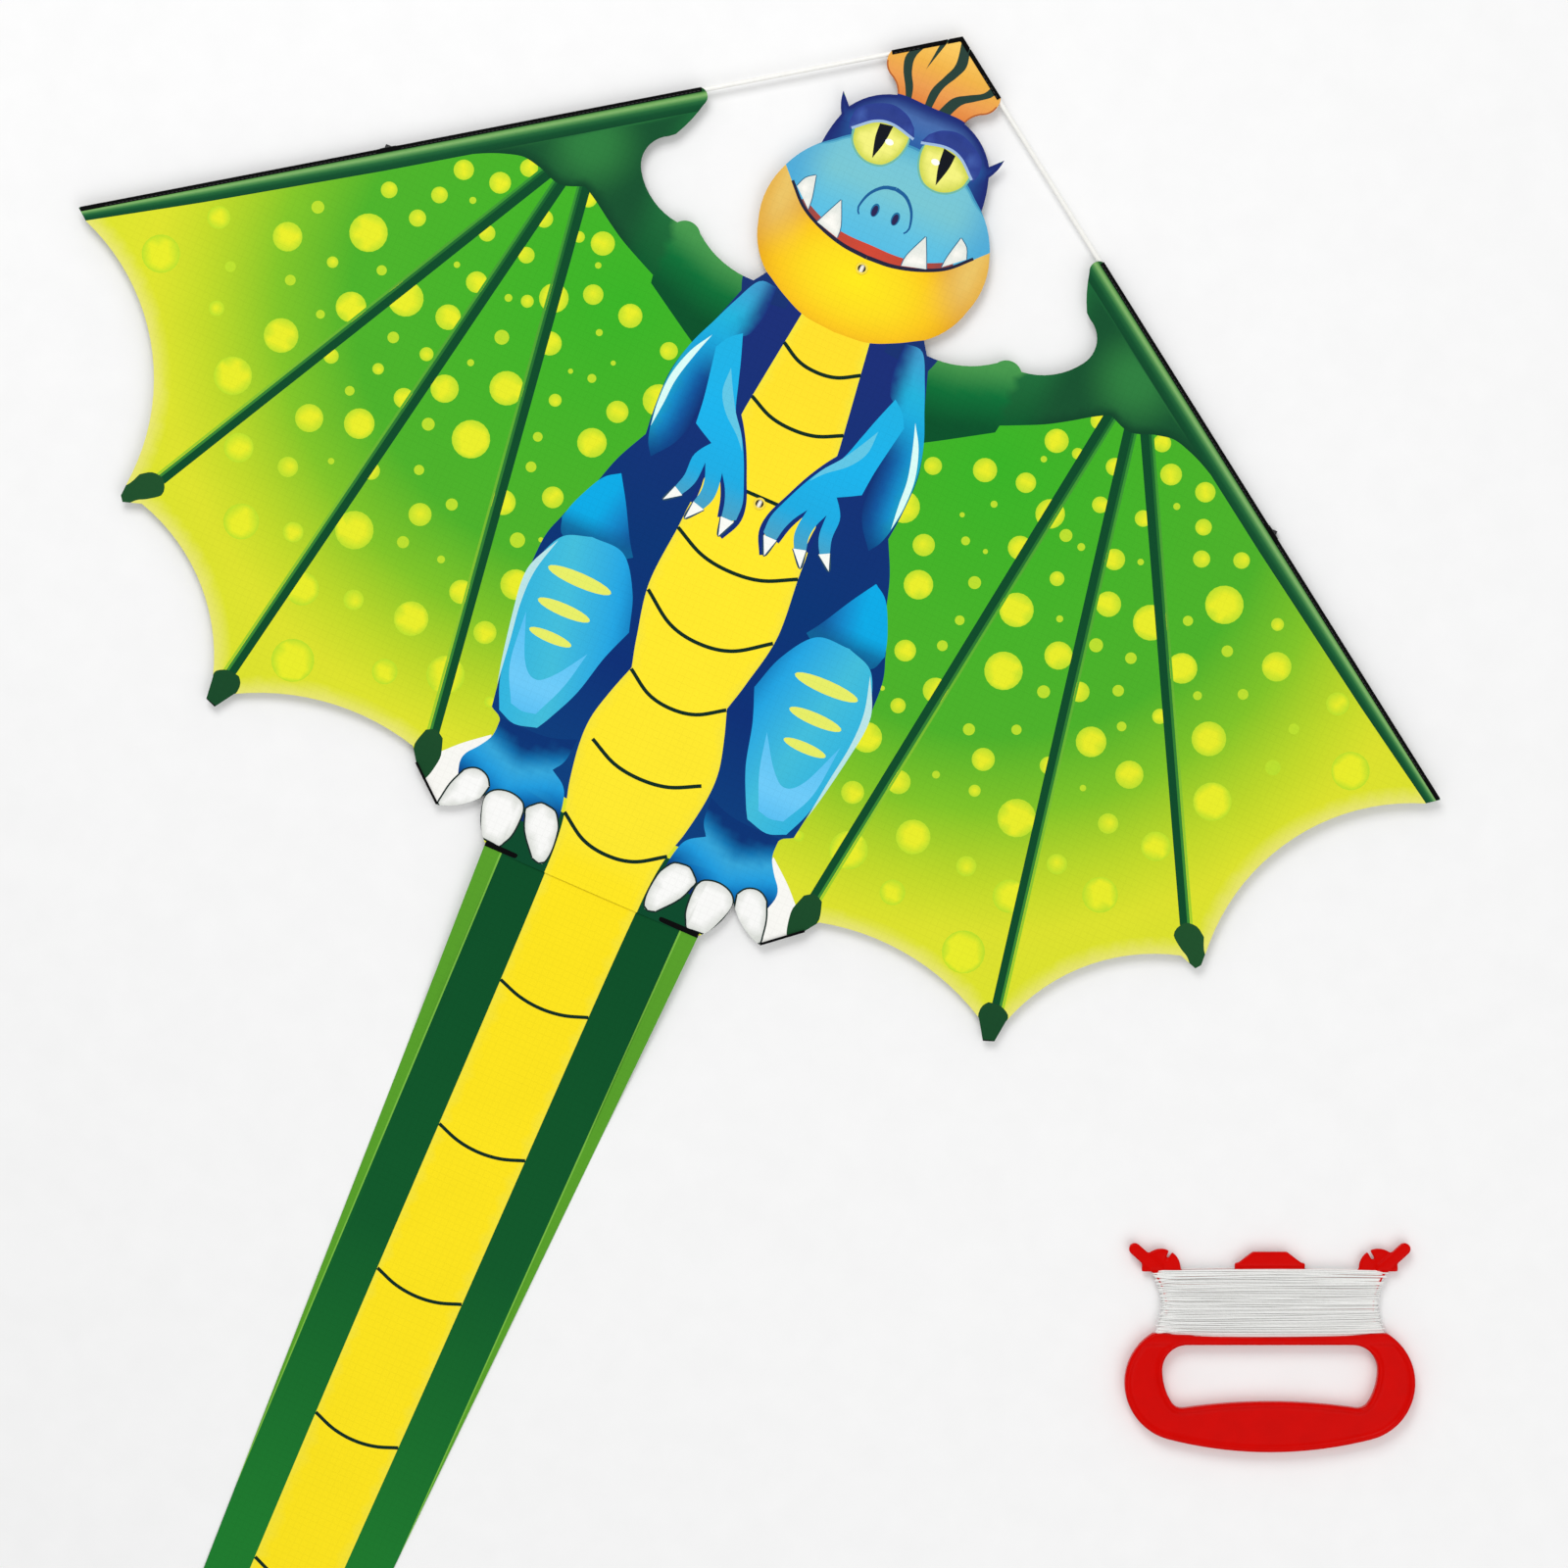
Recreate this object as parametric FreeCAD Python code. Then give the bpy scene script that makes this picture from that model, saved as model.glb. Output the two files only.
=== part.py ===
"""Dragon kite: a flat printed single-line kite with folding wings, a concertina tail and a line winder.

Units are millimetres. The kite lies face up. +Z leaves the printed face, +Y runs along the spine to
the nose and +X to the dragon's left wing tip. The origin is the centre of the lower tow eyelet, on
the line that joins the two wing tips. Everything rests on the plane z = FLOOR_Z.
"""
import FreeCAD, Part
import math
import os

Vector = FreeCAD.Vector

# Sail
HALF_SPAN = 550.0        # spine to wing tip
NOSE_Y = 377.0           # nose, where both leading edges start
SAIL_END_Y = -311.5      # cut edge beside the tail
SAIL_LAP_Y = -314.0      # lower edge where the sail laps over the tail's hem
SAIL_LAP_X = 71.0
SAIL_END_X = 86.5
CLOTH = 0.5              # modelled thickness of the cloth
FOLD_X = 9.0             # the wings fold up about lines this far from the spine
FOLD_GAP = 0.3           # each side of a fold line
CREST_X = 44.0           # half width of the crest's cut top edges
THUMB_X = 162.5          # where the wing's leading edge starts

# Rods, sleeves and end caps
ROD_R = 1.75
ROD_Z = -2.4
SLEEVE_IN_R = 1.9
SLEEVE_WALL = 0.35
TAPE_TOP_Z = -0.35
TAPE = 0.2               # thickness of binding and tape
BINDING_LAP = 3.0        # how far the binding reaches over the printed face
SLEEVE_LAP = 9.0         # how far the sleeve's lower layer reaches under the sail
SPINE_TAPE_HALF = 8.0
CAP_R = 2.1
CAP_LENGTH = 14.0
CAP_END = 1.5
SPINE_TOP_Y = 366.0
SPINE_LOW_Y = -307.0
POCKET_LENGTH = 20.0
POCKET_HALF = 3.1
POCKET_WALL = 0.4
POCKET_SPARE = 0.5       # from a closed cap to the end of its pocket

# Tow eyelets
EYELET_YS = (0.0, 190.0)
EYELET_BORE_R = 3.0
EYELET_BARREL_R = 3.5
EYELET_FLANGE_R = 4.5
EYELET_TOP_Z = 0.65
EYELET_LOW_Z = -0.6

# Spreader and its fittings
SPREADER_Y = 132.0
SPREADER_Z = -7.2
SPREADER_IN_X = 0.4
SOCKET_R = 2.8
SOCKET_LENGTH = 26.0
SOCKET_END = 3.0         # solid end of the blind socket
WEB_HALF = 4.0           # half length of the web between a connector's clip and socket
WEB_HALF_WIDE = 2.4      # and across its length
CLIP_OPEN = 0.9          # how far a clip closes above the rod's axis
SADDLE_LOW = 1.2         # how far the saddle reaches below the spreader's axis
SADDLE_GAP = 0.2         # between the spine rod and the saddle's block
FIT_GAP = 0.05           # between pieces that stay together
RUN_GAP = 0.3            # between pieces that move apart
FITTING_HALF = 6.0       # half length of a fitting along its rod
CLIP_WALL = 1.2
WINDOW_HALF = 8.0        # half length of a gap in a sleeve
FLOOR_Z = SPREADER_Z - SOCKET_R

# Tail
TAIL_PANELS = 4
TAIL_PITCH = 350.0
TAIL_TOP_HALF = 86.0
TAIL_TAPER = 0.039       # loss of half width per length
TAIL_FOLD_Y = -315.0
TAIL_FOLD_Z = -1.2
TAIL_FOLD_GAP = 2.0
HEM_THICK = 0.3          # corner hem under the sail
TAIL_HEM_HALF = 2.0      # tail hem, along the spine
TAIL_HEM_Z = (-0.95, -0.55)
TAPE_X = (3.6, 7.6)      # the two tapes that tie the tail's hem to the spine
TAPE_Y = (-1.5, 14.0)    # from the sail's cut edge
TAPE_Z = (-1.4, -1.0)
TAIL_LIE_Z = FLOOR_Z + CLOTH / 2 + 0.05

# Winder, in its own frame: x across, y towards its horns, z through its thickness
WINDER_AT = (596.0, -422.0)
WINDER_TURN = 23.5       # degrees about +Z
GRIP_HALF = 6.0          # half thickness of the grip ring
PLATE_HALF = 2.0         # half thickness of the plate that holds the line
PLATE_TOP_X = 88.0
PLATE_TOP_Y = 56.5
PLATE_WAIST_X = 78.0
PLATE_FOOT_X = 84.5
PLATE_FOOT_Y = 5.0
PLATE_MIDDLE_Y = 30.5
HORN_HALF = 3.5
HORN_R = 4.4
HORN_ROOT = (83.5, 57.5)
HORN_TIP = (100.0, 72.3)
EAR_AT = (80.5, 58.0)
EAR_R = 14.5
NOTCH_AT = (77.2, 64.0)
NOTCH_HALF = 1.1
NOTCH_LENGTH = 9.0
NOTCH_TURN = 30.0        # degrees about +Z
NECK_TOP_Y = 62.0        # bar across the plate's top, between the two ears
NECK_HALF_X = 26.0
TAB_TOP = (12.7, 70.2)   # right-hand corners of the thumb tab
TAB_FOOT = (26.5, 59.7)
BEYOND = 50.0            # reach of a cutting shape past what it cuts
GRIP_TOP_Y = 10.0        # corners where the ring meets the wound line
GRIP_LOW_Y = -78.2
GRIP_SIDE = (64.7, -27.0)
GRIP_SIDE_R = 43.0
HOLE_LOW_Y = -40.8
RIM_STEPS = ((0, 1.4), (0.6, 0.5), (1.4, 0))     # inset and drop of each step of the eased rims
RECESS_INSET = 3.4
RECESS_DEPTH = 1.0
LINE_BUILD = 2.8         # thickness of the wound line on each face of the plate

LE_LENGTH = math.hypot(HALF_SPAN, NOSE_Y)
LE_DIR = Vector(HALF_SPAN, -NOSE_Y, 0) / LE_LENGTH
LE_IN = Vector(-NOSE_Y, -HALF_SPAN, 0) / LE_LENGTH
LE_ROD_IN = SLEEVE_IN_R - FIT_GAP     # rod axis, inside the leading edge
EDGE_CAP_START = 16.0                 # from the nose to the leading edge's upper cap
EDGE_CAP_CLEAR = 3.0                  # from the lower cap to the wing tip
UP = Vector(0, 0, 1)


def edge_y(x):
    """Height of the straight leading edge at x."""
    return NOSE_Y * (1 - x / HALF_SPAN)


def edge_point(along, inward=0.0, z=0.0):
    """A point along the leading edge from the nose, inward across the sail and up."""
    return Vector(0, NOSE_Y, 0) + LE_DIR * along + LE_IN * inward + UP * z


def edges_of(start, steps, place):
    """Edges from start on. A step (x, y) is a line; (mx, my, x, y) is an arc through (mx, my)."""
    edges = []
    at = start
    for step in steps:
        end = step[-2:]
        if len(step) == 4:
            edges.append(Part.Arc(place(*at), place(*step[:2]), place(*end)).toShape())
        else:
            edges.append(Part.LineSegment(place(*at), place(*end)).toShape())
        at = end
    return edges


def wire_of(start, steps, place):
    """Closed wire through the steps and straight back to start."""
    return Part.Wire(edges_of(start, list(steps) + [start], place))


def plate(start, steps, low_z, high_z):
    """Flat solid with the outline of wire_of between two heights."""
    wire = wire_of(start, steps, lambda x, y: Vector(x, y, low_z))
    return Part.Face(wire).extrude(UP * (high_z - low_z))


def box(low, high):
    """Box from its low corner to its high corner."""
    size = [h - l for l, h in zip(low, high)]
    return Part.makeBox(*size, Vector(*low))


def tube(centre, direction, length, outer, inner):
    """Open tube of the given radii."""
    start = Vector(*centre)
    solid = Part.makeCylinder(outer, length, start, direction)
    return solid.cut(Part.makeCylinder(inner, length, start, direction))


def mirrored(shape):
    """The same piece on the other side of the spine."""
    return shape.mirror(Vector(0, 0, 0), Vector(1, 0, 0))


def save(name, *solids):
    """Write one node, checking that every solid is sound."""
    shape = solids[0] if len(solids) == 1 else Part.makeCompound(list(solids))
    if not shape.isValid() or min(s.Volume for s in shape.Solids) <= 0:
        raise RuntimeError(name + " is not a sound solid")
    shape.exportStep("parts/" + name + ".step")
    return shape


def save_pair(stem, *solids):
    """Write a right-hand node and its mirror image on the left."""
    save(stem + "_right", *solids)
    save(stem + "_left", *[mirrored(s) for s in solids])


# ---------------------------------------------------------------- sail

def head_edge():
    """Crest, skull, spike, cheek and jaw, from the crest's corner down to the shoulder."""
    return [
        (CREST_X, edge_y(CREST_X)),
        (43.5, 336.5, 36, 329.5), (30.5, 325, 27, 318.5),
        (43.5, 310.5, 56.5, 296.5),
        (65, 305.5), (63, 296, 59.5, 289), (62.5, 278, 64.5, 264),
        (76, 250.5, 84, 234), (88, 214, 84.5, 192), (76.5, 173.5, 63.5, 159.5),
        (70, 150),
    ]


def arm_edge():
    """Upper edge of the wing's arm, with its cuff and thumb, up to the leading edge."""
    return [
        (98, 154, 120, 166), (130, 171.3, 139, 167),
        (163, 175.5, 178.5, 191), (182.3, 204, 170, 223), (166, 226.5),
        (160, 240, 155.7, 255), (157, 263.5, THUMB_X, edge_y(THUMB_X)),
    ]


def finger_edge():
    """Hollow edges between the wing tip and the three pointed finger ends, then the claws."""
    return [
        (HALF_SPAN, 0), (541, -7),
        (467, -62, 435.5, -165), (436.5, -183), (433.5, -187), (420, -182.5),
        (357, -219, 320.5, -279), (318.5, -296), (310.5, -299), (301, -284.5),
        (234, -262.5, 164, -267), (157, -277), (130.5, -300),
        (114, -292.5, 100.5, -279), (97, -296, SAIL_END_X, SAIL_END_Y),
    ]


def sail_half():
    """Right half of the sail: half the dragon and one wing."""
    inner = FOLD_X + FOLD_GAP
    steps = head_edge() + arm_edge() + finger_edge()
    steps += [(SAIL_LAP_X, SAIL_END_Y), (SAIL_LAP_X, SAIL_LAP_Y), (inner, SAIL_LAP_Y)]
    return plate((inner, edge_y(inner)), steps, -CLOTH / 2, CLOTH / 2)


def sail_centre():
    """Strip of the sail over the spine, between the two fold lines, pierced for the eyelets."""
    side = FOLD_X - FOLD_GAP
    steps = [(side, edge_y(side)), (side, SAIL_LAP_Y), (-side, SAIL_LAP_Y), (-side, edge_y(side))]
    strip = plate((0, NOSE_Y), steps, -CLOTH / 2, CLOTH / 2)
    for y in EYELET_YS:
        hole = Part.makeCylinder(EYELET_BARREL_R + FIT_GAP, 2, Vector(0, y, -1))
        strip = strip.cut(hole)
    return strip


def corner_hem():
    """Binding on the short edge between the inner finger end and the outer claw."""
    outer = (157.6, -277.9)
    lower = (131.0, -300.5)
    lap = 1.8
    top_z = -CLOTH / 2 - FIT_GAP
    steps = [lower, (lower[0] - lap, lower[1] + lap), (outer[0] - lap, outer[1] + lap)]
    return plate(outer, steps, top_z - HEM_THICK, top_z)


# ---------------------------------------------------------------- leading edges

def edge_sleeve(start, end):
    """Black binding that wraps the cut edge and carries the leading-edge rod under the sail."""
    wrap = -SLEEVE_IN_R + LE_ROD_IN
    out = wrap - SLEEVE_WALL
    far = LE_ROD_IN + SLEEVE_IN_R
    low = TAPE_TOP_Z - TAPE
    top = CLOTH / 2 + FIT_GAP
    bottom = ROD_Z - SLEEVE_IN_R
    steps = [
        (BINDING_LAP, top + TAPE), (out, top + TAPE), (out, ROD_Z),
        (LE_ROD_IN, bottom - SLEEVE_WALL, far + SLEEVE_WALL, ROD_Z),
        (far + SLEEVE_WALL, low), (SLEEVE_LAP, low), (SLEEVE_LAP, TAPE_TOP_Z),
        (far, TAPE_TOP_Z), (far, ROD_Z),
        (LE_ROD_IN, bottom, wrap, ROD_Z), (wrap, top),
    ]
    wire = wire_of((BINDING_LAP, top), steps, lambda n, z: edge_point(start, n, z))
    return Part.Face(wire).extrude(LE_DIR * (end - start))


def edge_cylinder(start, end, radius):
    """Cylinder on the axis of the leading-edge rod."""
    return Part.makeCylinder(radius, end - start, edge_point(start, LE_ROD_IN, ROD_Z), LE_DIR)


def edge_cap(start, closed_first):
    """Soft vinyl cap pushed over one end of a leading-edge rod."""
    shell = edge_cylinder(start, start + CAP_LENGTH, CAP_R)
    first = start + CAP_END if closed_first else start
    last = first + CAP_LENGTH - CAP_END
    return shell.cut(edge_cylinder(first, last, ROD_R + FIT_GAP))


def make_leading_edges():
    """Rods, sleeves, crest bindings and caps of both wings."""
    last_cap = LE_LENGTH - EDGE_CAP_CLEAR - CAP_LENGTH
    connector_at = (NOSE_Y - SPREADER_Y) / NOSE_Y * LE_LENGTH
    crest_end = CREST_X / LE_DIR.x
    sleeve_start = THUMB_X / LE_DIR.x
    rod_start = EDGE_CAP_START + CAP_END + FIT_GAP
    rod_end = last_cap + CAP_LENGTH - CAP_END - FIT_GAP
    save_pair("leading_edge_rod", edge_cylinder(rod_start, rod_end, ROD_R))
    save_pair("crest_binding", edge_sleeve(EDGE_CAP_START + CAP_LENGTH + 1, crest_end))
    save_pair("wing_sleeve_inner", edge_sleeve(sleeve_start, connector_at - WINDOW_HALF))
    save_pair("wing_sleeve_outer", edge_sleeve(connector_at + WINDOW_HALF, last_cap - 1))
    save_pair("leading_edge_caps", edge_cap(EDGE_CAP_START, True), edge_cap(last_cap, False))
    return connector_at


# ---------------------------------------------------------------- spine

def along_spine(low_y, high_y, radius):
    """Cylinder on the spine's axis."""
    return Part.makeCylinder(radius, high_y - low_y, Vector(0, low_y, ROD_Z), Vector(0, 1, 0))


def spine_sleeve():
    """Tape sewn along the sail's back with a tunnel for the spine, open at the fittings."""
    low_y = SPINE_LOW_Y + POCKET_LENGTH
    high_y = SPINE_TOP_Y - POCKET_LENGTH
    outer = SLEEVE_IN_R + SLEEVE_WALL
    tape = box((-SPINE_TAPE_HALF, low_y, TAPE_TOP_Z - TAPE), (SPINE_TAPE_HALF, high_y, TAPE_TOP_Z))
    tunnel = along_spine(low_y, high_y, outer)
    tunnel = tunnel.fuse(box((-outer, low_y, ROD_Z), (outer, high_y, TAPE_TOP_Z)))
    hollow = along_spine(low_y, high_y, SLEEVE_IN_R)
    hollow = hollow.fuse(box((-SLEEVE_IN_R, low_y, ROD_Z), (SLEEVE_IN_R, high_y, 0)))
    sleeve = tape.fuse(tunnel).cut(hollow)
    window = outer + 1
    for y in EYELET_YS + (SPREADER_Y,):
        half = WINDOW_HALF if y == SPREADER_Y else EYELET_FLANGE_R + 2
        gap = box((-window - 1.5, y - half, -9), (window + 1.5, y + half, 0))
        sleeve = sleeve.cut(gap)
    return sleeve


def spine_pocket(open_y, end_y):
    """Cloth pocket that holds one end of the spine, open towards open_y."""
    low_z = ROD_Z - CAP_R - 2 * FIT_GAP - POCKET_WALL
    step = math.copysign(POCKET_WALL, open_y - end_y)
    ys = sorted((open_y, end_y))
    shell = box((-POCKET_HALF, ys[0], low_z), (POCKET_HALF, ys[1], TAPE_TOP_Z))
    tape = box((-SPINE_TAPE_HALF, ys[0], TAPE_TOP_Z - TAPE), (SPINE_TAPE_HALF, ys[1], TAPE_TOP_Z))
    inner = sorted((open_y - step, end_y + step))
    if step > 0:
        inner[1] = open_y + 1
    else:
        inner[0] = open_y - 1
    half = POCKET_HALF - POCKET_WALL
    room = box((-half, inner[0], low_z + POCKET_WALL), (half, inner[1], 0))
    return shell.fuse(tape).cut(room)


def spine_cap(closed_y, open_y):
    """Soft vinyl cap pushed over one end of the spine."""
    ys = sorted((closed_y, open_y))
    shell = along_spine(ys[0], ys[1], CAP_R)
    if closed_y > open_y:
        return shell.cut(along_spine(ys[0], ys[1] - CAP_END, ROD_R + FIT_GAP))
    return shell.cut(along_spine(ys[0] + CAP_END, ys[1], ROD_R + FIT_GAP))


def eyelet(y):
    """Snap eyelet through the sail over the spine."""
    top_flange = CLOTH / 2 + FIT_GAP
    ring = Part.makeCylinder(EYELET_BARREL_R, EYELET_TOP_Z - EYELET_LOW_Z, Vector(0, y, EYELET_LOW_Z))
    head = Part.makeCylinder(EYELET_FLANGE_R, EYELET_TOP_Z - top_flange, Vector(0, y, top_flange))
    washer = Part.makeCylinder(EYELET_FLANGE_R, -top_flange - EYELET_LOW_Z, Vector(0, y, EYELET_LOW_Z))
    bore = Part.makeCylinder(EYELET_BORE_R, 4, Vector(0, y, -2))
    return ring.fuse(head).fuse(washer).cut(bore)


def clip_on(axis_start, direction, length):
    """Moulded clip round the lower side of a rod, open towards the sail."""
    outer = ROD_R + CLIP_WALL
    clip = tube(axis_start, direction, length, outer, ROD_R + FIT_GAP)
    cover = box((axis_start[0] - BEYOND, axis_start[1] - BEYOND, ROD_Z + CLIP_OPEN),
                (axis_start[0] + BEYOND, axis_start[1] + BEYOND, BEYOND))
    return clip.cut(cover)


def spreader_saddle():
    """Clip on the spine with a channel across its back that the spreader halves lift out of."""
    half_x = FOLD_X - 0.5
    clip = clip_on((0, SPREADER_Y - FITTING_HALF, ROD_Z), Vector(0, 1, 0), 2 * FITTING_HALF)
    web_top = ROD_Z - ROD_R - SADDLE_GAP
    channel = ROD_R + RUN_GAP
    block = box((-half_x, SPREADER_Y - FITTING_HALF, SPREADER_Z - SADDLE_LOW),
                (half_x, SPREADER_Y + FITTING_HALF, web_top))
    room = box((-half_x - 1, SPREADER_Y - channel, SPREADER_Z - 3),
               (half_x + 1, SPREADER_Y + channel, SPREADER_Z + channel))
    rod = along_spine(SPREADER_Y - 10, SPREADER_Y + 10, ROD_R + FIT_GAP)
    return block.fuse(clip).cut(room).cut(rod)


def make_spine():
    """Everything that stays on the spine when the wings fold."""
    cap_top = SPINE_TOP_Y + CAP_END + FIT_GAP
    cap_low = SPINE_LOW_Y - CAP_END - FIT_GAP
    save("spine_rod", along_spine(SPINE_LOW_Y, SPINE_TOP_Y, ROD_R))
    save("spine_sleeve", spine_sleeve())
    nose_end = cap_top + POCKET_SPARE
    foot_end = cap_low - POCKET_SPARE
    caps = [spine_cap(cap_top, cap_top - CAP_LENGTH), spine_cap(cap_low, cap_low + CAP_LENGTH)]
    save("spine_end_caps", *caps)
    save("nose_pocket", spine_pocket(nose_end - POCKET_LENGTH, nose_end))
    save("spine_foot_pocket", spine_pocket(foot_end + POCKET_LENGTH, foot_end))
    save("tow_eyelets", *[eyelet(y) for y in EYELET_YS])
    save("spreader_saddle", spreader_saddle())
    save("sail_centre", sail_centre())


# ---------------------------------------------------------------- spreader

def edge_connector(along):
    """Moulded fitting clipped on the leading-edge rod, with a blind socket for the spreader."""
    middle = edge_point(along, LE_ROD_IN, ROD_Z)
    start = middle - LE_DIR * FITTING_HALF
    clip = clip_on((start.x, start.y, start.z), LE_DIR, 2 * FITTING_HALF)
    outer_x = middle.x + WEB_HALF
    bore_x = outer_x - SOCKET_END
    inward = Vector(-1, 0, 0)
    socket_at = Vector(outer_x, SPREADER_Y, SPREADER_Z)
    bore_at = Vector(bore_x, SPREADER_Y, SPREADER_Z)
    socket = Part.makeCylinder(SOCKET_R, SOCKET_LENGTH, socket_at, inward)
    bore = Part.makeCylinder(ROD_R + FIT_GAP, SOCKET_LENGTH, bore_at, inward)
    web = box((middle.x - WEB_HALF, SPREADER_Y - WEB_HALF_WIDE, SPREADER_Z),
              (outer_x, SPREADER_Y + WEB_HALF_WIDE, ROD_Z - ROD_R))
    rod = edge_cylinder(along - 15, along + 15, ROD_R + FIT_GAP)
    return clip.fuse(socket).fuse(web).cut(bore).cut(rod), bore_x


def make_spreader(connector_at):
    """The two fittings on the leading edges and the two halves of the spreader."""
    connector, bore_x = edge_connector(connector_at)
    save_pair("edge_connector", connector)
    length = bore_x - FIT_GAP - SPREADER_IN_X
    rod = Part.makeCylinder(ROD_R, length, Vector(SPREADER_IN_X, SPREADER_Y, SPREADER_Z), Vector(1, 0, 0))
    save_pair("spreader_rod", rod)


# ---------------------------------------------------------------- tail

def tail_half(distance):
    """Half width of the tail at a distance below its hem."""
    return TAIL_TOP_HALF - TAIL_TAPER * distance


def tail_panel(index):
    """One flat panel of the tail between two fold lines."""
    near = index * TAIL_PITCH + TAIL_FOLD_GAP
    far = (index + 1) * TAIL_PITCH - TAIL_FOLD_GAP
    wide = tail_half(near)
    narrow = tail_half(far)
    half = CLOTH / 2
    if index == TAIL_PANELS - 1:
        round_start = far - narrow
        steps = [(wide, -near), (narrow, -round_start), (0, -far, -narrow, -round_start)]
    else:
        steps = [(wide, -near), (narrow, -far), (-narrow, -far)]
    return plate((-wide, -near), steps, -half, half)


def make_tail():
    """The hem and tapes on the spine's end, and the panels folding behind them."""
    drop = TAIL_FOLD_Z - TAIL_LIE_Z
    slope = math.degrees(math.asin(drop / TAIL_PITCH))
    hem = box((-TAIL_TOP_HALF, SAIL_END_Y - TAIL_HEM_HALF, TAIL_HEM_Z[0]),
              (TAIL_TOP_HALF, SAIL_END_Y + TAIL_HEM_HALF, TAIL_HEM_Z[1]))
    save("tail_hem", hem)
    tape = box((TAPE_X[0], SAIL_END_Y + TAPE_Y[0], TAPE_Z[0]),
               (TAPE_X[1], SAIL_END_Y + TAPE_Y[1], TAPE_Z[1]))
    save("tail_tapes", tape, mirrored(tape))
    flat_start_y = TAIL_FOLD_Y - math.sqrt(TAIL_PITCH ** 2 - drop ** 2) + TAIL_PITCH
    for index in range(TAIL_PANELS):
        panel = tail_panel(index)
        if index == 0:
            panel.rotate(Vector(0, 0, 0), Vector(1, 0, 0), slope)
            panel.translate(Vector(0, TAIL_FOLD_Y, TAIL_FOLD_Z))
        else:
            panel.translate(Vector(0, flat_start_y, TAIL_LIE_Z))
        save("tail_panel_%d" % (index + 1), panel)


# ---------------------------------------------------------------- winder

def symmetric_face(start, steps):
    """Flat face whose right edge runs from start through steps; both ends are on the centre line."""
    right = edges_of(start, steps, lambda x, y: Vector(x, y, 0))
    left = [mirrored(edge) for edge in right]
    return Part.Face(Part.Wire(Part.__sortEdges__(right + left)))


def slab(face, half):
    """Solid of a flat face, half to each side of the winder's middle plane."""
    lifted = face.copy()
    lifted.translate(Vector(0, 0, -half))
    return lifted.extrude(UP * 2 * half)


def turn(centre, radius, start, end):
    """Arc step about centre, from one angle in degrees to another."""
    angles = [math.radians((start + end) / 2), math.radians(end)]
    return tuple(c + radius * f(a) for a in angles for c, f in zip(centre, (math.cos, math.sin)))


def circles_meet(first, first_r, second, second_r):
    """Where two circles cross, to the right of the way from the first centre to the second."""
    way = (second[0] - first[0], second[1] - first[1])
    apart = math.hypot(*way)
    along = (apart ** 2 + first_r ** 2 - second_r ** 2) / (2 * apart)
    aside = math.sqrt(first_r ** 2 - along ** 2)
    unit = (way[0] / apart, way[1] / apart)
    return (first[0] + unit[0] * along - unit[1] * aside, first[1] + unit[1] * along + unit[0] * aside)


def grip_outside(inset):
    """Outside of the grip: a long lower arc that runs smoothly into two round sides."""
    drop = GRIP_SIDE[1] - GRIP_LOW_Y
    low_r = (GRIP_SIDE[0] ** 2 + drop ** 2 - GRIP_SIDE_R ** 2) / (2 * (drop - GRIP_SIDE_R))
    low_centre = (0, GRIP_LOW_Y + low_r)
    side_r = GRIP_SIDE_R - inset
    join = math.degrees(math.atan2(drop - low_r, GRIP_SIDE[0]))
    top = math.degrees(math.asin((GRIP_TOP_Y - GRIP_SIDE[1]) / side_r))
    corner_x = GRIP_SIDE[0] + side_r * math.cos(math.radians(top))
    steps = [(44, GRIP_TOP_Y - 2.6, corner_x, GRIP_TOP_Y), turn(GRIP_SIDE, side_r, top, join),
             turn(low_centre, low_r - inset, join, -90)]
    return symmetric_face((0, GRIP_TOP_Y - 3.4), steps)


def finger_hole(grow):
    """Opening for four fingers: level top, round corners and a lower edge that bows upwards."""
    corner = (61.3, -17.3)
    corner_r = 18.5
    side_r = 45.0
    side = (corner[0] + corner_r - side_r, corner[1])
    low_r = 440.0
    low = (0, HOLE_LOW_Y - low_r)
    low_corner_r = 9.0
    low_corner = circles_meet(side, side_r - low_corner_r, low, low_r + low_corner_r)
    first = math.degrees(math.atan2(low_corner[1] - side[1], low_corner[0] - side[0]))
    last = math.degrees(math.atan2(low[1] - low_corner[1], low[0] - low_corner[0]))
    bow_start = last + 180
    top_y = corner[1] + corner_r + grow
    steps = [(corner[0], top_y), turn(corner, corner_r + grow, 90, 0), turn(side, side_r + grow, 0, first),
             turn(low_corner, low_corner_r + grow, first, last), turn(low, low_r - grow, bow_start, 90)]
    return symmetric_face((0, top_y), steps)


def grip_face(inset):
    """Grip ring seen from the front, drawn in by inset at its edges."""
    return grip_outside(inset).cut(finger_hole(inset)).Faces[0]


def grip_ring():
    """Grip ring with eased rims and a shallow recess between them on both faces."""
    steps = [slab(grip_face(inset), GRIP_HALF - lower) for inset, lower in RIM_STEPS]
    ring = steps[0].fuse(steps[1:])
    sheet = grip_face(RECESS_INSET).cut(Part.makePlane(300, 50, Vector(-150, 2, 0)))
    for side in (-1, 1):
        pocket = sheet.copy()
        pocket.translate(Vector(0, 0, side * GRIP_HALF - RECESS_DEPTH))
        ring = ring.cut(pocket.extrude(UP * 2 * RECESS_DEPTH))
    return ring


def plate_edge(clear, top_y):
    """Right edge of the line plate: top, hollow side and foot, grown by clear."""
    side = (PLATE_WAIST_X + clear, PLATE_MIDDLE_Y, PLATE_FOOT_X + clear, PLATE_FOOT_Y)
    return [(PLATE_TOP_X + clear, top_y), (PLATE_TOP_X + clear, PLATE_TOP_Y), side, (0, PLATE_FOOT_Y)]


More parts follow.
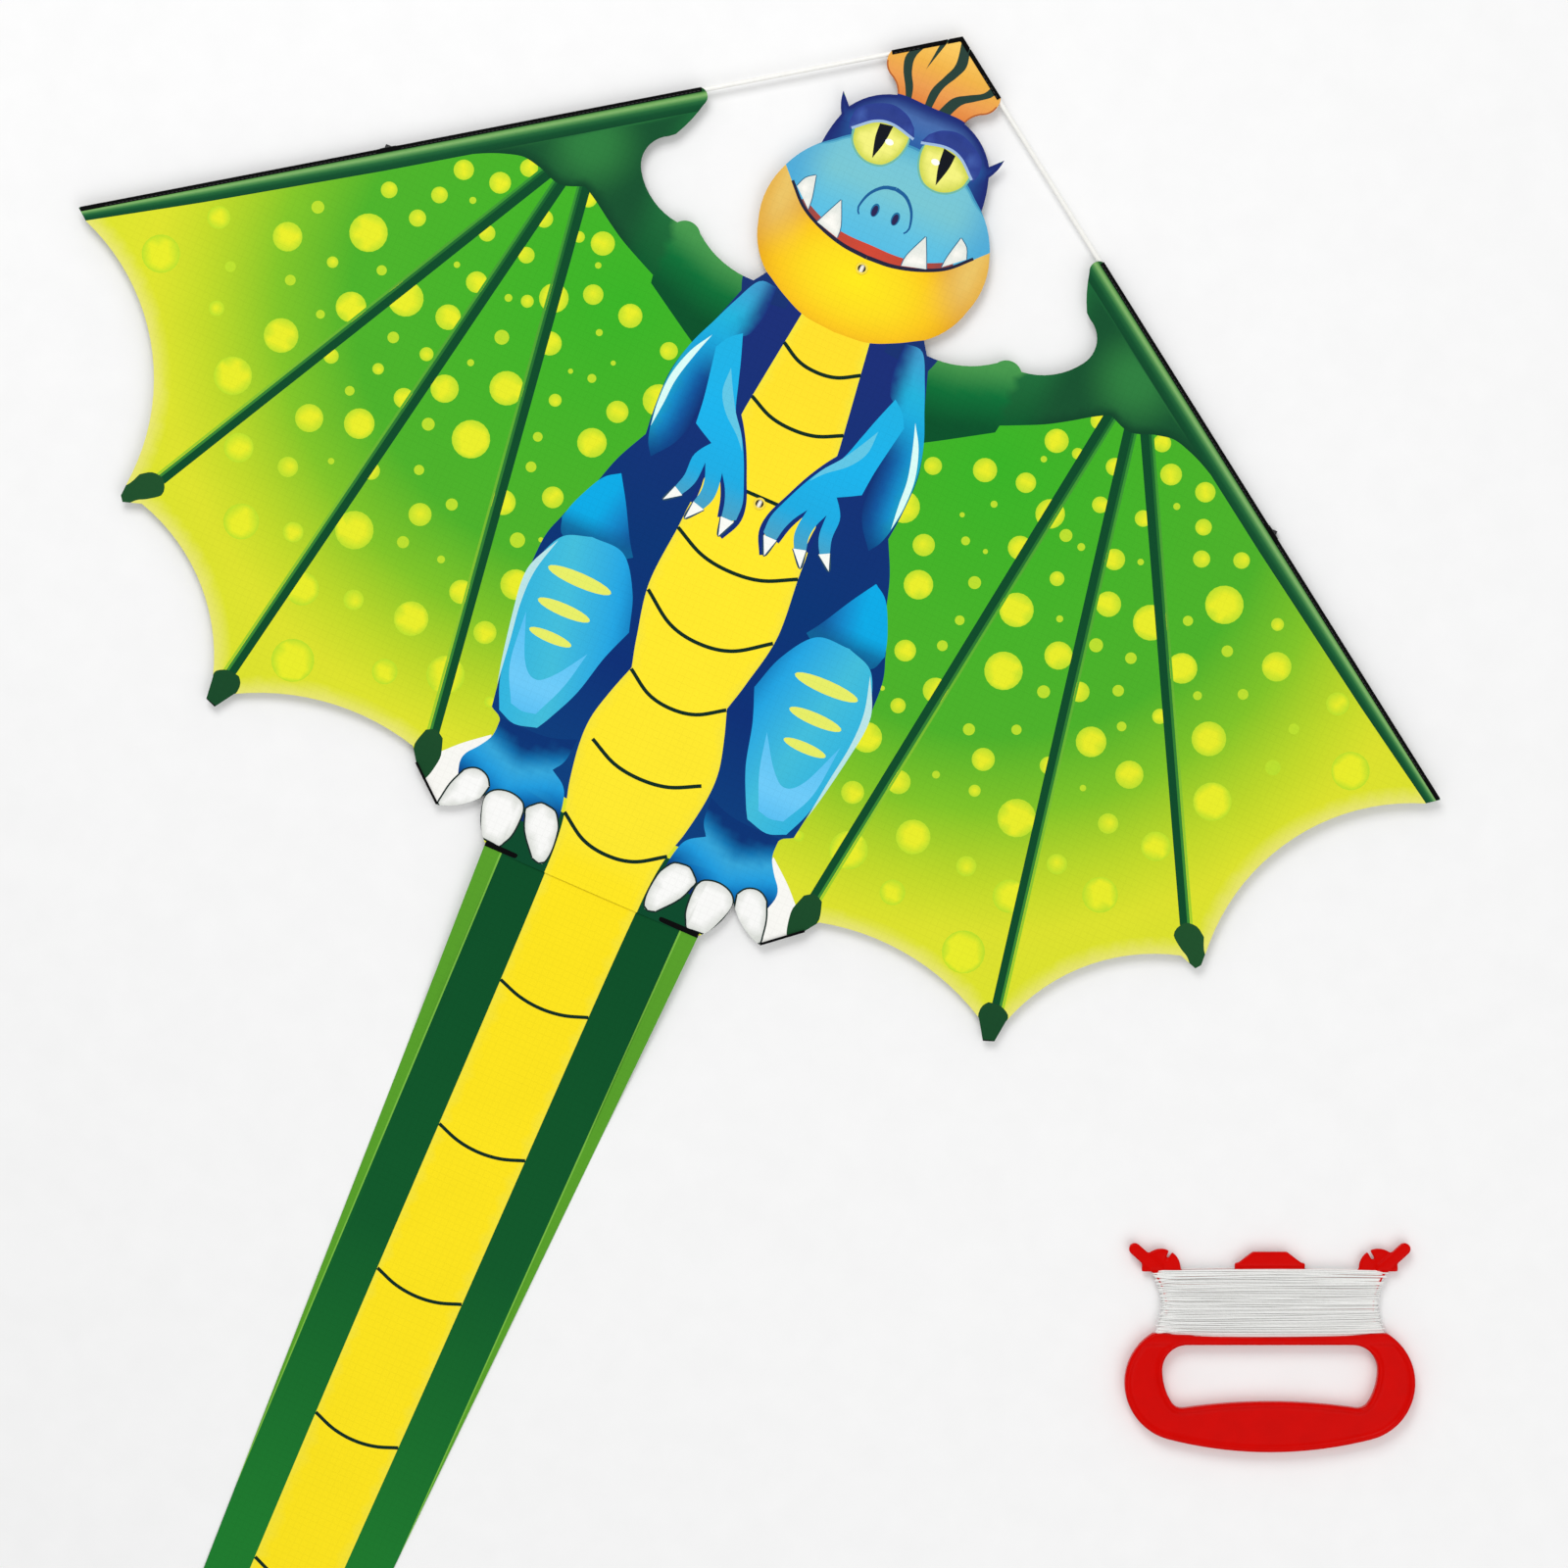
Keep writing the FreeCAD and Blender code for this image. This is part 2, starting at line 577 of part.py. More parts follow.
def block_above(low_y):
    """Block round one ear that keeps what is above low_y."""
    low = (EAR_AT[0] - BEYOND, low_y, -BEYOND)
    high = (EAR_AT[0] + BEYOND, EAR_AT[1] + BEYOND, BEYOND)
    return box(low, high)


def winder_ear():
    """Notched half disc with a horn across it, which the line is hooked under."""
    disc = Part.makeCylinder(EAR_R, 2 * PLATE_HALF, Vector(*EAR_AT, -PLATE_HALF))
    disc = disc.common(block_above(PLATE_TOP_Y - 1))
    notch = box((-NOTCH_HALF, 0, -BEYOND), (NOTCH_HALF, NOTCH_LENGTH, BEYOND))
    notch.rotate(Vector(0, 0, 0), UP, NOTCH_TURN)
    notch.translate(Vector(*NOTCH_AT, 0))
    root = Vector(*HORN_ROOT, -HORN_HALF)
    tip = Vector(*HORN_TIP, -HORN_HALF)
    along = tip - root
    bar = Part.makeBox(along.Length, 2 * HORN_R, 2 * HORN_HALF, Vector(0, -HORN_R, 0))
    bar.rotate(Vector(0, 0, 0), UP, math.degrees(math.atan2(along.y, along.x)))
    bar.translate(root)
    horn = bar.fuse(Part.makeCylinder(HORN_R, 2 * HORN_HALF, tip))
    horn = horn.fuse(Part.makeCylinder(HORN_R, 2 * HORN_HALF, root))
    horn = horn.common(block_above(PLATE_TOP_Y))
    return disc.cut(notch).fuse(horn)


def winder_shape():
    """One moulding: grip ring, line plate, thumb tab and two notched ears."""
    line_plate = symmetric_face((0, PLATE_TOP_Y), plate_edge(0, PLATE_TOP_Y)[1:])
    neck_low = PLATE_TOP_Y - 1
    neck_edge = [(NECK_HALF_X, NECK_TOP_Y), (NECK_HALF_X, neck_low), (0, neck_low)]
    neck = slab(symmetric_face((0, NECK_TOP_Y), neck_edge), PLATE_HALF)
    tab = slab(symmetric_face((0, TAB_TOP[1]), [TAB_TOP, TAB_FOOT, (0, TAB_FOOT[1])]), HORN_HALF)
    ear = winder_ear()
    return grip_ring().fuse([slab(line_plate, PLATE_HALF), neck, tab, ear, mirrored(ear)])


def line_winding():
    """Outer shape of the flying line wound round the plate, hollow where the plate passes."""
    edge = [(48, 58, 90.7, 54.9), (80.9, PLATE_MIDDLE_Y, 87, 10.3), (44, 7.8, 0, 6.9)]
    body = slab(symmetric_face((0, 59.3), edge), PLATE_HALF + LINE_BUILD)
    core = symmetric_face((0, NECK_TOP_Y), plate_edge(FIT_GAP, NECK_TOP_Y))
    return body.cut(slab(core, PLATE_HALF + FIT_GAP))


def make_winder():
    """The winder and its line, lying flat beside the kite."""
    for name, shape in (("winder", winder_shape()), ("flying_line", line_winding())):
        shape.rotate(Vector(0, 0, 0), UP, WINDER_TURN)
        shape.translate(Vector(*WINDER_AT, FLOOR_Z + GRIP_HALF))
        save(name, shape)


os.makedirs("parts", exist_ok=True)
save_pair("sail", sail_half())
save_pair("corner_hem", corner_hem())
make_spine()
make_spreader(make_leading_edges())
make_tail()
make_winder()
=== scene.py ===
"""Looks of the dragon kite: printed sail and tail, sewn bindings, rods, fittings and the wound line.

Blender works in metres. Artwork and cloth are laid out flat in millimetres, in the frame's own axes,
and scaled by MM when a mesh is made. The sail lies in the plane z = 0 with its print facing +Z.
"""
import bpy
import math
import random
import numpy as np
from mathutils import Matrix, Vector, geometry, kdtree, noise


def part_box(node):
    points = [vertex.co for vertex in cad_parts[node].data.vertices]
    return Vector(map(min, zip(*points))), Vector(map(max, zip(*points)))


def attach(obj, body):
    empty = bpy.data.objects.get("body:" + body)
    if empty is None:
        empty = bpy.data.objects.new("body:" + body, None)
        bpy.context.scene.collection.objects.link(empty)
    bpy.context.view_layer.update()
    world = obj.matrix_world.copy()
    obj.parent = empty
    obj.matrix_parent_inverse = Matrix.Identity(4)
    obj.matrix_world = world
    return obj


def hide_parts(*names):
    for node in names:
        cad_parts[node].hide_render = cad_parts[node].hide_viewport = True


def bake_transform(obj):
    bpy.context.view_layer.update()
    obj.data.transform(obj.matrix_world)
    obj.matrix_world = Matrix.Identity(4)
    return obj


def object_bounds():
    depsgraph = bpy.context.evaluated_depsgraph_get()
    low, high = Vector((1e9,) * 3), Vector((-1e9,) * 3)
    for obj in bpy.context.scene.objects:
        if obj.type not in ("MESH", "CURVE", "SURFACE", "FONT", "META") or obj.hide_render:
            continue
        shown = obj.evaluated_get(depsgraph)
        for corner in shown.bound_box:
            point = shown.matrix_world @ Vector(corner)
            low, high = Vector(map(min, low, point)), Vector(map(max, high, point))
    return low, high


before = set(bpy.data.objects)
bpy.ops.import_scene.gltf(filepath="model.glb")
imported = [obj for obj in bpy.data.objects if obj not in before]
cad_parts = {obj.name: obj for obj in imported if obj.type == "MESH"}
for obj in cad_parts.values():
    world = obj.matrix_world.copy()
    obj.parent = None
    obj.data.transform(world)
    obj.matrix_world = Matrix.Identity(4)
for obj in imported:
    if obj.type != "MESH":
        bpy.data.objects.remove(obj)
CAD_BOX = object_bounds()
MM = 0.001
SIDES = (("right", 1), ("left", -1))
UP = np.array([0, 0, 1.0])


def box_mm(node):
    """Lowest and highest corner of a CAD node in millimetres."""
    return [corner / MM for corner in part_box(node)]


# ---------------------------------------------------------------- camera and light

VIEW_AT = (0.09944, -0.18318, 4.0)
VIEW_TURN = math.radians(23.5)
VIEW_WIDTH = 1.1616              # of the floor, in metres, across the picture


def make_camera():
    """Straight down on the kite, turned so that the nose points up and to the left."""
    camera = bpy.data.cameras.new("camera")
    view = bpy.data.objects.new("camera", camera)
    view.location = VIEW_AT
    view.rotation_euler = (0, 0, VIEW_TURN)
    camera.sensor_width = 36
    camera.lens = camera.sensor_width * view.location.z / VIEW_WIDTH
    bpy.context.collection.objects.link(view)
    bpy.context.scene.camera = view


def make_light(name, place, size, power):
    """Square soft box aimed at the middle of the kite."""
    lamp = bpy.data.lights.new(name, "AREA")
    lamp.size = size
    lamp.energy = power
    light = bpy.data.objects.new(name, lamp)
    light.location = place
    light.rotation_euler = Vector(place).to_track_quat("Z", "Y").to_euler()
    bpy.context.collection.objects.link(light)


def make_world(strength):
    """Even white surroundings."""
    world = bpy.data.worlds.new("studio")
    world.use_nodes = True
    background = world.node_tree.nodes["Background"]
    background.inputs["Color"].default_value = (1, 1, 1, 1)
    background.inputs["Strength"].default_value = strength
    bpy.context.scene.world = world


# ---------------------------------------------------------------- colours

def linear(code):
    """Scene-linear colour of a six-digit code."""
    value = np.array([int(code[i:i + 2], 16) / 255 for i in (0, 2, 4)])
    return np.where(value <= 0.04045, value / 12.92, ((value + 0.055) / 1.055) ** 2.4)


def ramp(t, stops):
    """Colours at t along stops, a list of (place, code)."""
    places = [s[0] for s in stops]
    codes = np.array([linear(s[1]) for s in stops])
    return np.stack([np.interp(t, places, codes[:, i]) for i in range(3)], 1)


def fade(t, low, high):
    """Smooth step from 0 at low to 1 at high."""
    t = np.clip((t - low) / (high - low), 0, 1)
    return t * t * (3 - 2 * t)


def mix(a, b, share):
    """Colours a with share of colours b."""
    return a + (b - a) * np.asarray(share)[:, None]


def plain(code):
    """Paint of one colour."""
    return lambda p, edge: np.tile(linear(code), (len(p), 1))


def down(*stops):
    """Paint that changes with height on the sail."""
    stops = sorted(stops)
    return lambda p, edge: ramp(p[:, 1], stops)


def across(a, b, *stops):
    """Paint that changes along the way from point a, 0, to point b, 1."""
    way = np.subtract(b, a)
    return lambda p, edge: ramp((p - a) @ way / (way @ way), stops)


def round_about(centre, *stops):
    """Paint that changes with distance from a centre."""
    return lambda p, edge: ramp(np.linalg.norm(p - centre, axis=1), stops)


def rimmed(paint, code, width):
    """Paint that turns to another colour within width of the shape's edge."""
    return lambda p, edge: mix(paint(p, edge), linear(code), 1 - fade(distance(p, edge), 0, width))


# ---------------------------------------------------------------- flat drawing

def curve(points, closed=False, step=2.5):
    """Points about step apart on a smooth curve through the given ones."""
    p = np.array(points, float)
    if len(p) < 3:
        count = max(1, int(np.linalg.norm(p[1] - p[0]) / step))
        return p[0] + (p[1] - p[0]) * np.linspace(0, 1, count + 1)[:, None]
    if closed:
        p = np.vstack([p[-1], p, p[:2]])
    else:
        p = np.vstack([2 * p[0] - p[1], p, 2 * p[-1] - p[-2]])
    out = []
    for a, b, c, d in zip(p, p[1:], p[2:], p[3:]):
        count = max(1, int(np.linalg.norm(c - b) / step))
        t = (np.arange(count) / count)[:, None]
        out.append(0.5 * (2 * b + (c - a) * t + (2 * a - 5 * b + 4 * c - d) * t ** 2
                          + (3 * b - a - 3 * c + d) * t ** 3))
    if not closed:
        out.append(p[-2:-1])
    return np.vstack(out)


def loop(*strokes):
    """Closed outline of smooth strokes. Each starts at the corner where the one before it ended."""
    pieces = []
    corner = []
    for stroke in strokes:
        pieces.append(curve(corner + stroke)[:-1])
        corner = stroke[-1:]
    if corner != strokes[0][:1]:
        pieces.append(corner)
    return np.vstack(pieces)


def polygon(*points):
    """Closed outline with straight sides."""
    return np.array(points, float)


def oval(x, y, width, height=None, count=20):
    """Ellipse about (x, y)."""
    turn = np.linspace(0, 2 * math.pi, count, endpoint=False)
    return np.stack([x + width / 2 * np.cos(turn), y + (height or width) / 2 * np.sin(turn)], 1)


def ribbon(points, width, end=None):
    """Outline of a line of some width drawn through points, with another width at its end."""
    line = curve(points)
    way = np.gradient(line, axis=0)
    way /= np.linalg.norm(way, axis=1)[:, None]
    side = np.stack([-way[:, 1], way[:, 0]], 1)
    half = np.linspace(width, width if end is None else end, len(line))[:, None] / 2
    return np.vstack([line + side * half, (line - side * half)[::-1]])


def inside(points, edge):
    """Whether each point lies inside a closed outline."""
    x, y = points[:, 0], points[:, 1]
    hit = np.zeros(len(points), bool)
    near = np.flatnonzero((x > edge[:, 0].min()) & (x < edge[:, 0].max())
                          & (y > edge[:, 1].min()) & (y < edge[:, 1].max()))
    x, y = x[near], y[near]
    found = np.zeros(len(near), bool)
    for (ax, ay), (bx, by) in zip(edge, np.roll(edge, -1, 0)):
        if ay != by:
            found ^= ((ay > y) != (by > y)) & (x < (bx - ax) * (y - ay) / (by - ay) + ax)
    hit[near] = found
    return hit


def distance(points, edge, closed=True):
    """Distance of each point from an outline, leaving out its sides along the spine."""
    best = np.full(len(points), 1e9)
    ends = np.roll(edge, -1, 0) if closed else edge[1:]
    for a, b in zip(edge, ends):
        if abs(a[0]) + abs(b[0]) < 0.1:
            continue
        way = b - a
        t = np.clip((points - a) @ way / max(way @ way, 1e-9), 0, 1)
        best = np.minimum(best, np.linalg.norm(points - a - t[:, None] * way, axis=1))
    return best


def top_outline(node):
    """Outline in millimetres of the upper face of a flat CAD node, in order."""
    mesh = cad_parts[node].data
    mesh.calc_loop_triangles()
    top = max(v.co.z for v in mesh.vertices)
    key = {}
    corner = [key.setdefault(tuple(round(c, 7) for c in v.co), len(key)) for v in mesh.vertices]
    place = {number: co for co, number in key.items()}
    follow = {}
    for triangle in mesh.loop_triangles:
        if all(abs(mesh.vertices[i].co.z - top) < 1e-6 for i in triangle.vertices):
            a, b, c = (corner[i] for i in triangle.vertices)
            for pair in ((a, b), (b, c), (c, a)):
                if follow.pop(pair[::-1], None) is None:
                    follow[pair] = True
    after = {a: b for a, b in follow}
    at = first = next(iter(after))
    order = []
    while True:
        order.append(place[at][:2])
        at = after[at]
        if at == first:
            return np.array(order) / MM


# ---------------------------------------------------------------- materials

def shader(name, **constants):
    """New material; returns its node tree and its shader, with constant sockets set."""
    material = bpy.data.materials.new(name)
    material.use_nodes = True
    tree = material.node_tree
    surface = tree.nodes["Principled BSDF"]
    for socket, value in constants.items():
        surface.inputs[socket.replace("_", " ")].default_value = value
    return material, tree, surface


def add_node(tree, kind, settings=None, **inputs):
    """New node of a kind. Inputs are values or the sockets that feed them."""
    node = tree.nodes.new("ShaderNode" + kind)
    for name, value in (settings or {}).items():
        setattr(node, name, value)
    for name, value in inputs.items():
        socket = node.inputs[int(name[1:])] if name[0] == "i" and name[1:].isdigit() else node.inputs[name]
        if isinstance(value, bpy.types.NodeSocket):
            tree.links.new(value, socket)
        else:
            socket.default_value = value
    return node


def maths(tree, operation, a, b=0.0, c=0.0):
    """Result of a maths node."""
    return add_node(tree, "Math", {"operation": operation}, i0=a, i1=b, i2=c).outputs[0]


def threads(tree, place, pitch):
    """Height of a plain weave with the given pitch in metres, from 0 to 1."""
    parts = add_node(tree, "SeparateXYZ", None, Vector=place)
    waves = []
    for socket in ("X", "Y"):
        turn = maths(tree, "MULTIPLY", parts.outputs[socket], 2 * math.pi / pitch)
        waves.append(maths(tree, "SINE", turn))
    both = maths(tree, "MULTIPLY", waves[0], waves[1])
    return maths(tree, "MULTIPLY_ADD", both, 0.5, 0.5)


def cells(tree, place, pitch, share):
    """1 on the thicker ripstop threads that form a grid of that pitch, else 0."""
    parts = add_node(tree, "SeparateXYZ", None, Vector=place)
    lines = []
    for socket in ("X", "Y"):
        along = maths(tree, "FRACT", maths(tree, "DIVIDE", parts.outputs[socket], pitch))
        lines.append(maths(tree, "LESS_THAN", along, share))
    return maths(tree, "MAXIMUM", lines[0], lines[1])


def scaled(tree, colour, factor):
    """A colour socket times a factor."""
    node = add_node(tree, "VectorMath", {"operation": "SCALE"}, Vector=colour, Scale=factor)
    return node.outputs["Vector"]


def feed(tree, surface, **sockets):
    """Link sockets to the shader's inputs of those names."""
    for name, socket in sockets.items():
        tree.links.new(socket, surface.inputs[name.replace("_", " ")])


WEAVE_PITCH = 0.0007
RIPSTOP_PITCH = 0.005
RIPSTOP_SHARE = 0.09             # of the pitch that the thicker threads take up


def printed_cloth(name):
    """Dye-printed polyester: colour from the Print attribute, fine weave, ripstop grid, soft creases."""
    material, tree, surface = shader(name, Sheen_Weight=0.015, Sheen_Roughness=0.5,
                                     Specular_IOR_Level=0.06)
    ink = add_node(tree, "Attribute", {"attribute_name": "Print"}).outputs["Color"]
    place = add_node(tree, "Attribute", {"attribute_name": "Flat"}).outputs["Vector"]
    patches = add_node(tree, "TexNoise", None, Vector=place, Scale=26.0, Detail=3.0)
    grain = add_node(tree, "TexNoise", None, Vector=place, Scale=900.0, Detail=2.0)
    weave = threads(tree, place, WEAVE_PITCH)
    grid = cells(tree, place, RIPSTOP_PITCH, RIPSTOP_SHARE)
    shade = maths(tree, "MULTIPLY_ADD", patches.outputs["Fac"], 0.05, 0.92)
    shade = maths(tree, "MULTIPLY_ADD", grain.outputs["Fac"], 0.06, shade)
    # Painted shade of the weave: the colour is a little lighter on the thread tops and darker between the
    # threads.
    shade = maths(tree, "MULTIPLY_ADD", weave, 0.04, shade)
    shade = maths(tree, "MULTIPLY_ADD", grid, -0.035, shade)
    rough = maths(tree, "MULTIPLY_ADD", grain.outputs["Fac"], 0.2, 0.5)
    height = maths(tree, "ADD", weave, maths(tree, "MULTIPLY", grid, 1.2))
    fine = add_node(tree, "Bump", None, Strength=0.35, Distance=0.0001, Height=height)
    soft = add_node(tree, "Bump", None, Strength=0.25, Distance=0.002, Height=patches.outputs["Fac"],
                    Normal=fine.outputs[0])
    feed(tree, surface, Base_Color=scaled(tree, ink, shade), Roughness=rough, Normal=soft.outputs[0])
    return material


def solid(name, code, scale, spots, bump, gloss=(0.3, 0.1), weave=0.0, **constants):
    """Material of one colour with noise and bumps, and with a weave where its pitch isn't 0.

    Spots is how far the colour strays, and gloss is the lowest roughness and how far that strays.
    """
    material, tree, surface = shader(name, **constants)
    place = add_node(tree, "TexCoord").outputs["Object"]
    fac = add_node(tree, "TexNoise", None, Vector=place, Scale=scale, Detail=4.0).outputs["Fac"]
    tones = add_node(tree, "ValToRGB", None, Fac=fac)
    for element, factor, position in zip(tones.color_ramp.elements, (1 - spots, 1 + spots), (0.3, 0.7)):
        element.color = (*np.clip(linear(code) * factor, 0, 1), 1)
        element.position = position
    colour = tones.outputs["Color"]
    height = fac
    if weave:
        cloth = threads(tree, place, weave)
        height = maths(tree, "ADD", maths(tree, "MULTIPLY", fac, 0.3), cloth)
        # Painted shade of the weave: the colour is darker in the gaps between the threads and lighter on
        # their tops.
        colour = scaled(tree, colour, maths(tree, "MULTIPLY_ADD", cloth, 0.4, 0.72))
    rough = maths(tree, "MULTIPLY_ADD", fac, gloss[1], gloss[0])
    bumps = add_node(tree, "Bump", None, Strength=0.4, Distance=bump, Height=height)
    feed(tree, surface, Base_Color=colour, Roughness=rough, Normal=bumps.outputs[0])
    return material


CLOTH = printed_cloth("printed_polyester")
TAIL_CLOTH = printed_cloth("tail_polyester")
BINDING = solid("black_binding", "050506", 500.0, 0.3, 0.0002, (0.85, 0.1), weave=0.0009,
                Sheen_Weight=0.0, Specular_IOR_Level=0.1)
TAPE = solid("white_tape", "d9d9d4", 500.0, 0.08, 0.0002, (0.7, 0.2), weave=0.0009, Sheen_Weight=0.2)
THREAD = solid("thread", "1b1b1d", 900.0, 0.3, 0.0001, (0.6, 0.2), Sheen_Weight=0.3)
PALE_THREAD = solid("pale_thread", "c9c9c2", 900.0, 0.1, 0.0001, (0.6, 0.2), Sheen_Weight=0.3)
ROD = solid("fibreglass", "f2f1ec", 300.0, 0.03, 0.00005, (0.28, 0.12), Coat_Weight=0.3)
VINYL = solid("black_vinyl", "18181a", 200.0, 0.2, 0.0001, (0.45, 0.15))
FITTING = solid("moulded_nylon", "1d1d1f", 250.0, 0.2, 0.0001, (0.4, 0.15))
EYELET = solid("eyelet_plastic", "efd53a", 250.0, 0.05, 0.00005, (0.35, 0.1))
RED = solid("red_plastic", "cc0501", 60.0, 0.04, 0.00008, (0.2, 0.1), Specular_IOR_Level=0.04)
LINE = solid("braided_line", "fbfbf8", 700.0, 0.05, 0.0002, (0.55, 0.2), weave=0.0008, Sheen_Weight=0.2)


def mesh_object(name, vertices, faces, material):
    """New object from vertices in metres."""
    mesh = bpy.data.meshes.new(name)
    mesh.from_pydata([tuple(v) for v in vertices], [], [tuple(int(i) for i in f) for f in faces])
    mesh.update()
    mesh.materials.append(material)
    mesh.shade_smooth()
    made = bpy.data.objects.new(name, mesh)
    bpy.context.collection.objects.link(made)
    return made


# ---------------------------------------------------------------- flying line

LINE_D = 0.001
WINDER_LOW, WINDER_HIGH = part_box("winder")
WINDER_TURN = VIEW_TURN          # it lies square to the picture
WINDER_AT = Vector((0.596, -0.422, (WINDER_LOW.z + WINDER_HIGH.z) / 2))
WAIST_Y = 30.5                   # the plate's narrowest height, in millimetres on the winder
WAIST_HALF = 78.6
FLARE = 8.6                      # how much wider the plate is at its upper and lower edge
FLARE_REACH = 25.5
EVEN_LEAN = 0.25                 # how far a turn slants in the lowest layer, and in the layers above it
LOOSE_LEAN = 1.8
LOOSE_LIFT = 3
CROSSING = (-0.86, -0.5, 0.0, 0.5, 0.86)        # points of a turn, as shares of the plate's half width
# where each layer of turns starts and ends on the plate, its lift off the plate's middle and its turns
LAYERS = ((8.6, 56.4, 2.6, 52), (55.6, 9.4, 3.45, 24), (12.0, 53.5, 4.25, 13))


def on_winder(x, y, z):
    """Point in metres from the winder's own axes in millimetres."""
    return Matrix.Translation(WINDER_AT) @ Matrix.Rotation(WINDER_TURN, 4, "Z") @ (Vector((x, y, z)) * MM)


def winding_half_width(y):
    """Half width of the line plate at height y: narrow at the waist."""
    return WAIST_HALF + FLARE * ((y - WAIST_Y) / FLARE_REACH) ** 2


def winding_route():
    """Control points of the line: layers of turns that climb and fall between the plate's edges."""
    rng = random.Random(5)
    points = []
    for start, end, lift, turns in LAYERS:
        for turn in range(turns):
            y = start + (end - start) * turn / turns
            rise = (end - start) / turns
            lean = rng.uniform(-1, 1) * (EVEN_LEAN if lift < LOOSE_LIFT else LOOSE_LEAN)
            for side, back in ((1, 0.0), (-1, 0.5)):
                here = y + rise * back
                for share in CROSSING:
                    height = here + rise * 0.25 * (share + 1) + lean * side * share
                    bow = 1.6 * (1 - share ** 2) * (height - 30) / 25
                    x = winding_half_width(height) * share * side
                    points.append((x, height + bow * 0.9, lift * side + rng.uniform(-0.05, 0.05)))
                edge = winding_half_width(here) + lift - 2.0
                height = here + rise * 0.5 + lean * side
                points.append((edge * side, height, lift * 0.62 * side))
                points.append((edge * side, height, -lift * 0.62 * side))
    return [on_winder(*p) for p in points]


def make_flying_line():
    """White braided line wound round the winder's plate."""
    route = winding_route()
    data = bpy.data.curves.new("flying_line_wound", "CURVE")
    data.dimensions = "3D"
    spline = data.splines.new("NURBS")
    spline.points.add(len(route) - 1)
    for point, co in zip(spline.points, route):
        point.co = (*co, 1)
    spline.order_u = 3
    spline.use_endpoint_u = True
    spline.resolution_u = 3
    data.bevel_depth = LINE_D / 2
    data.bevel_resolution = 2
    data.materials.append(LINE)
    cord = bpy.data.objects.new("flying_line_wound", data)
    bpy.context.collection.objects.link(cord)
    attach(cord, "winder")
    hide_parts("flying_line")
    tuple(route[0])


# ---------------------------------------------------------------- artwork of the sail

NAVY = "1c2a70"
INK = "0b2b20"
OUTLINE = top_outline("sail_right")
LEADING_START = np.array([0.0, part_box("sail_centre")[1].y / MM])
WING_TIP = OUTLINE[OUTLINE[:, 0].argmax()]
LEADING_WAY = (WING_TIP - LEADING_START) / np.linalg.norm(WING_TIP - LEADING_START)
LEADING_IN = np.array([LEADING_WAY[1], -LEADING_WAY[0]])
artwork = []                     # shapes from the lowest to the topmost: outline, paint, mirrored or not


def leading(along, inward):
    """Point at a distance along the right leading edge and inward from it."""
    return LEADING_START + LEADING_WAY * along + LEADING_IN * inward


def inward(p):
    """Distance of points from the leading edge, into the sail."""
    return (p - LEADING_START) @ LEADING_IN


def draw(edge, paint, both=True):
    """Lay a shape over the artwork, and by default its mirror image too. Paint may be a plain colour."""
    paint = plain(paint) if isinstance(paint, str) else paint
    artwork.append((edge, paint, False))
    if both:
        artwork.append((edge * (-1, 1), paint, True))


def edge_part(chosen):
    """Run of the right sail outline whose points pass a test."""
    keep = np.array([chosen(x, y) for x, y in OUTLINE])
    start = next(i for i in range(len(keep)) if keep[i] and not keep[i - 1])
    run = np.roll(OUTLINE, -start, axis=0)
    count = next((i for i in range(len(run)) if not keep[(start + i) % len(keep)]), len(run))
    return run[:count]


def draw_membrane():
    """Wing skin, green at the shoulder and yellow outside, with pale rims and cut-off corners."""
    skin = round_about((150, 100), (0, "37b022"), (205, "4cae26"), (260, "80c124"), (315, "c0d626"),
                       (350, "dadf2b"))
    draw(polygon((0, 400), (600, 400), (600, -330), (0, -330)), skin)
    hollow = edge_part(lambda x, y: x > 157 and y < -4)
    draw(ribbon(hollow[::2], 26), lambda p, edge: mix(skin(p, edge), linear("e6e372"),
                                                      1 - fade(distance(p, hollow, closed=False), 0, 12)))
    draw(loop([(114, -236), (131, -250), (143, -262)], [(150, -300), (131, -306)],
              [(112, -300), (108, -262), (114, -236)]), "f7f6f1")
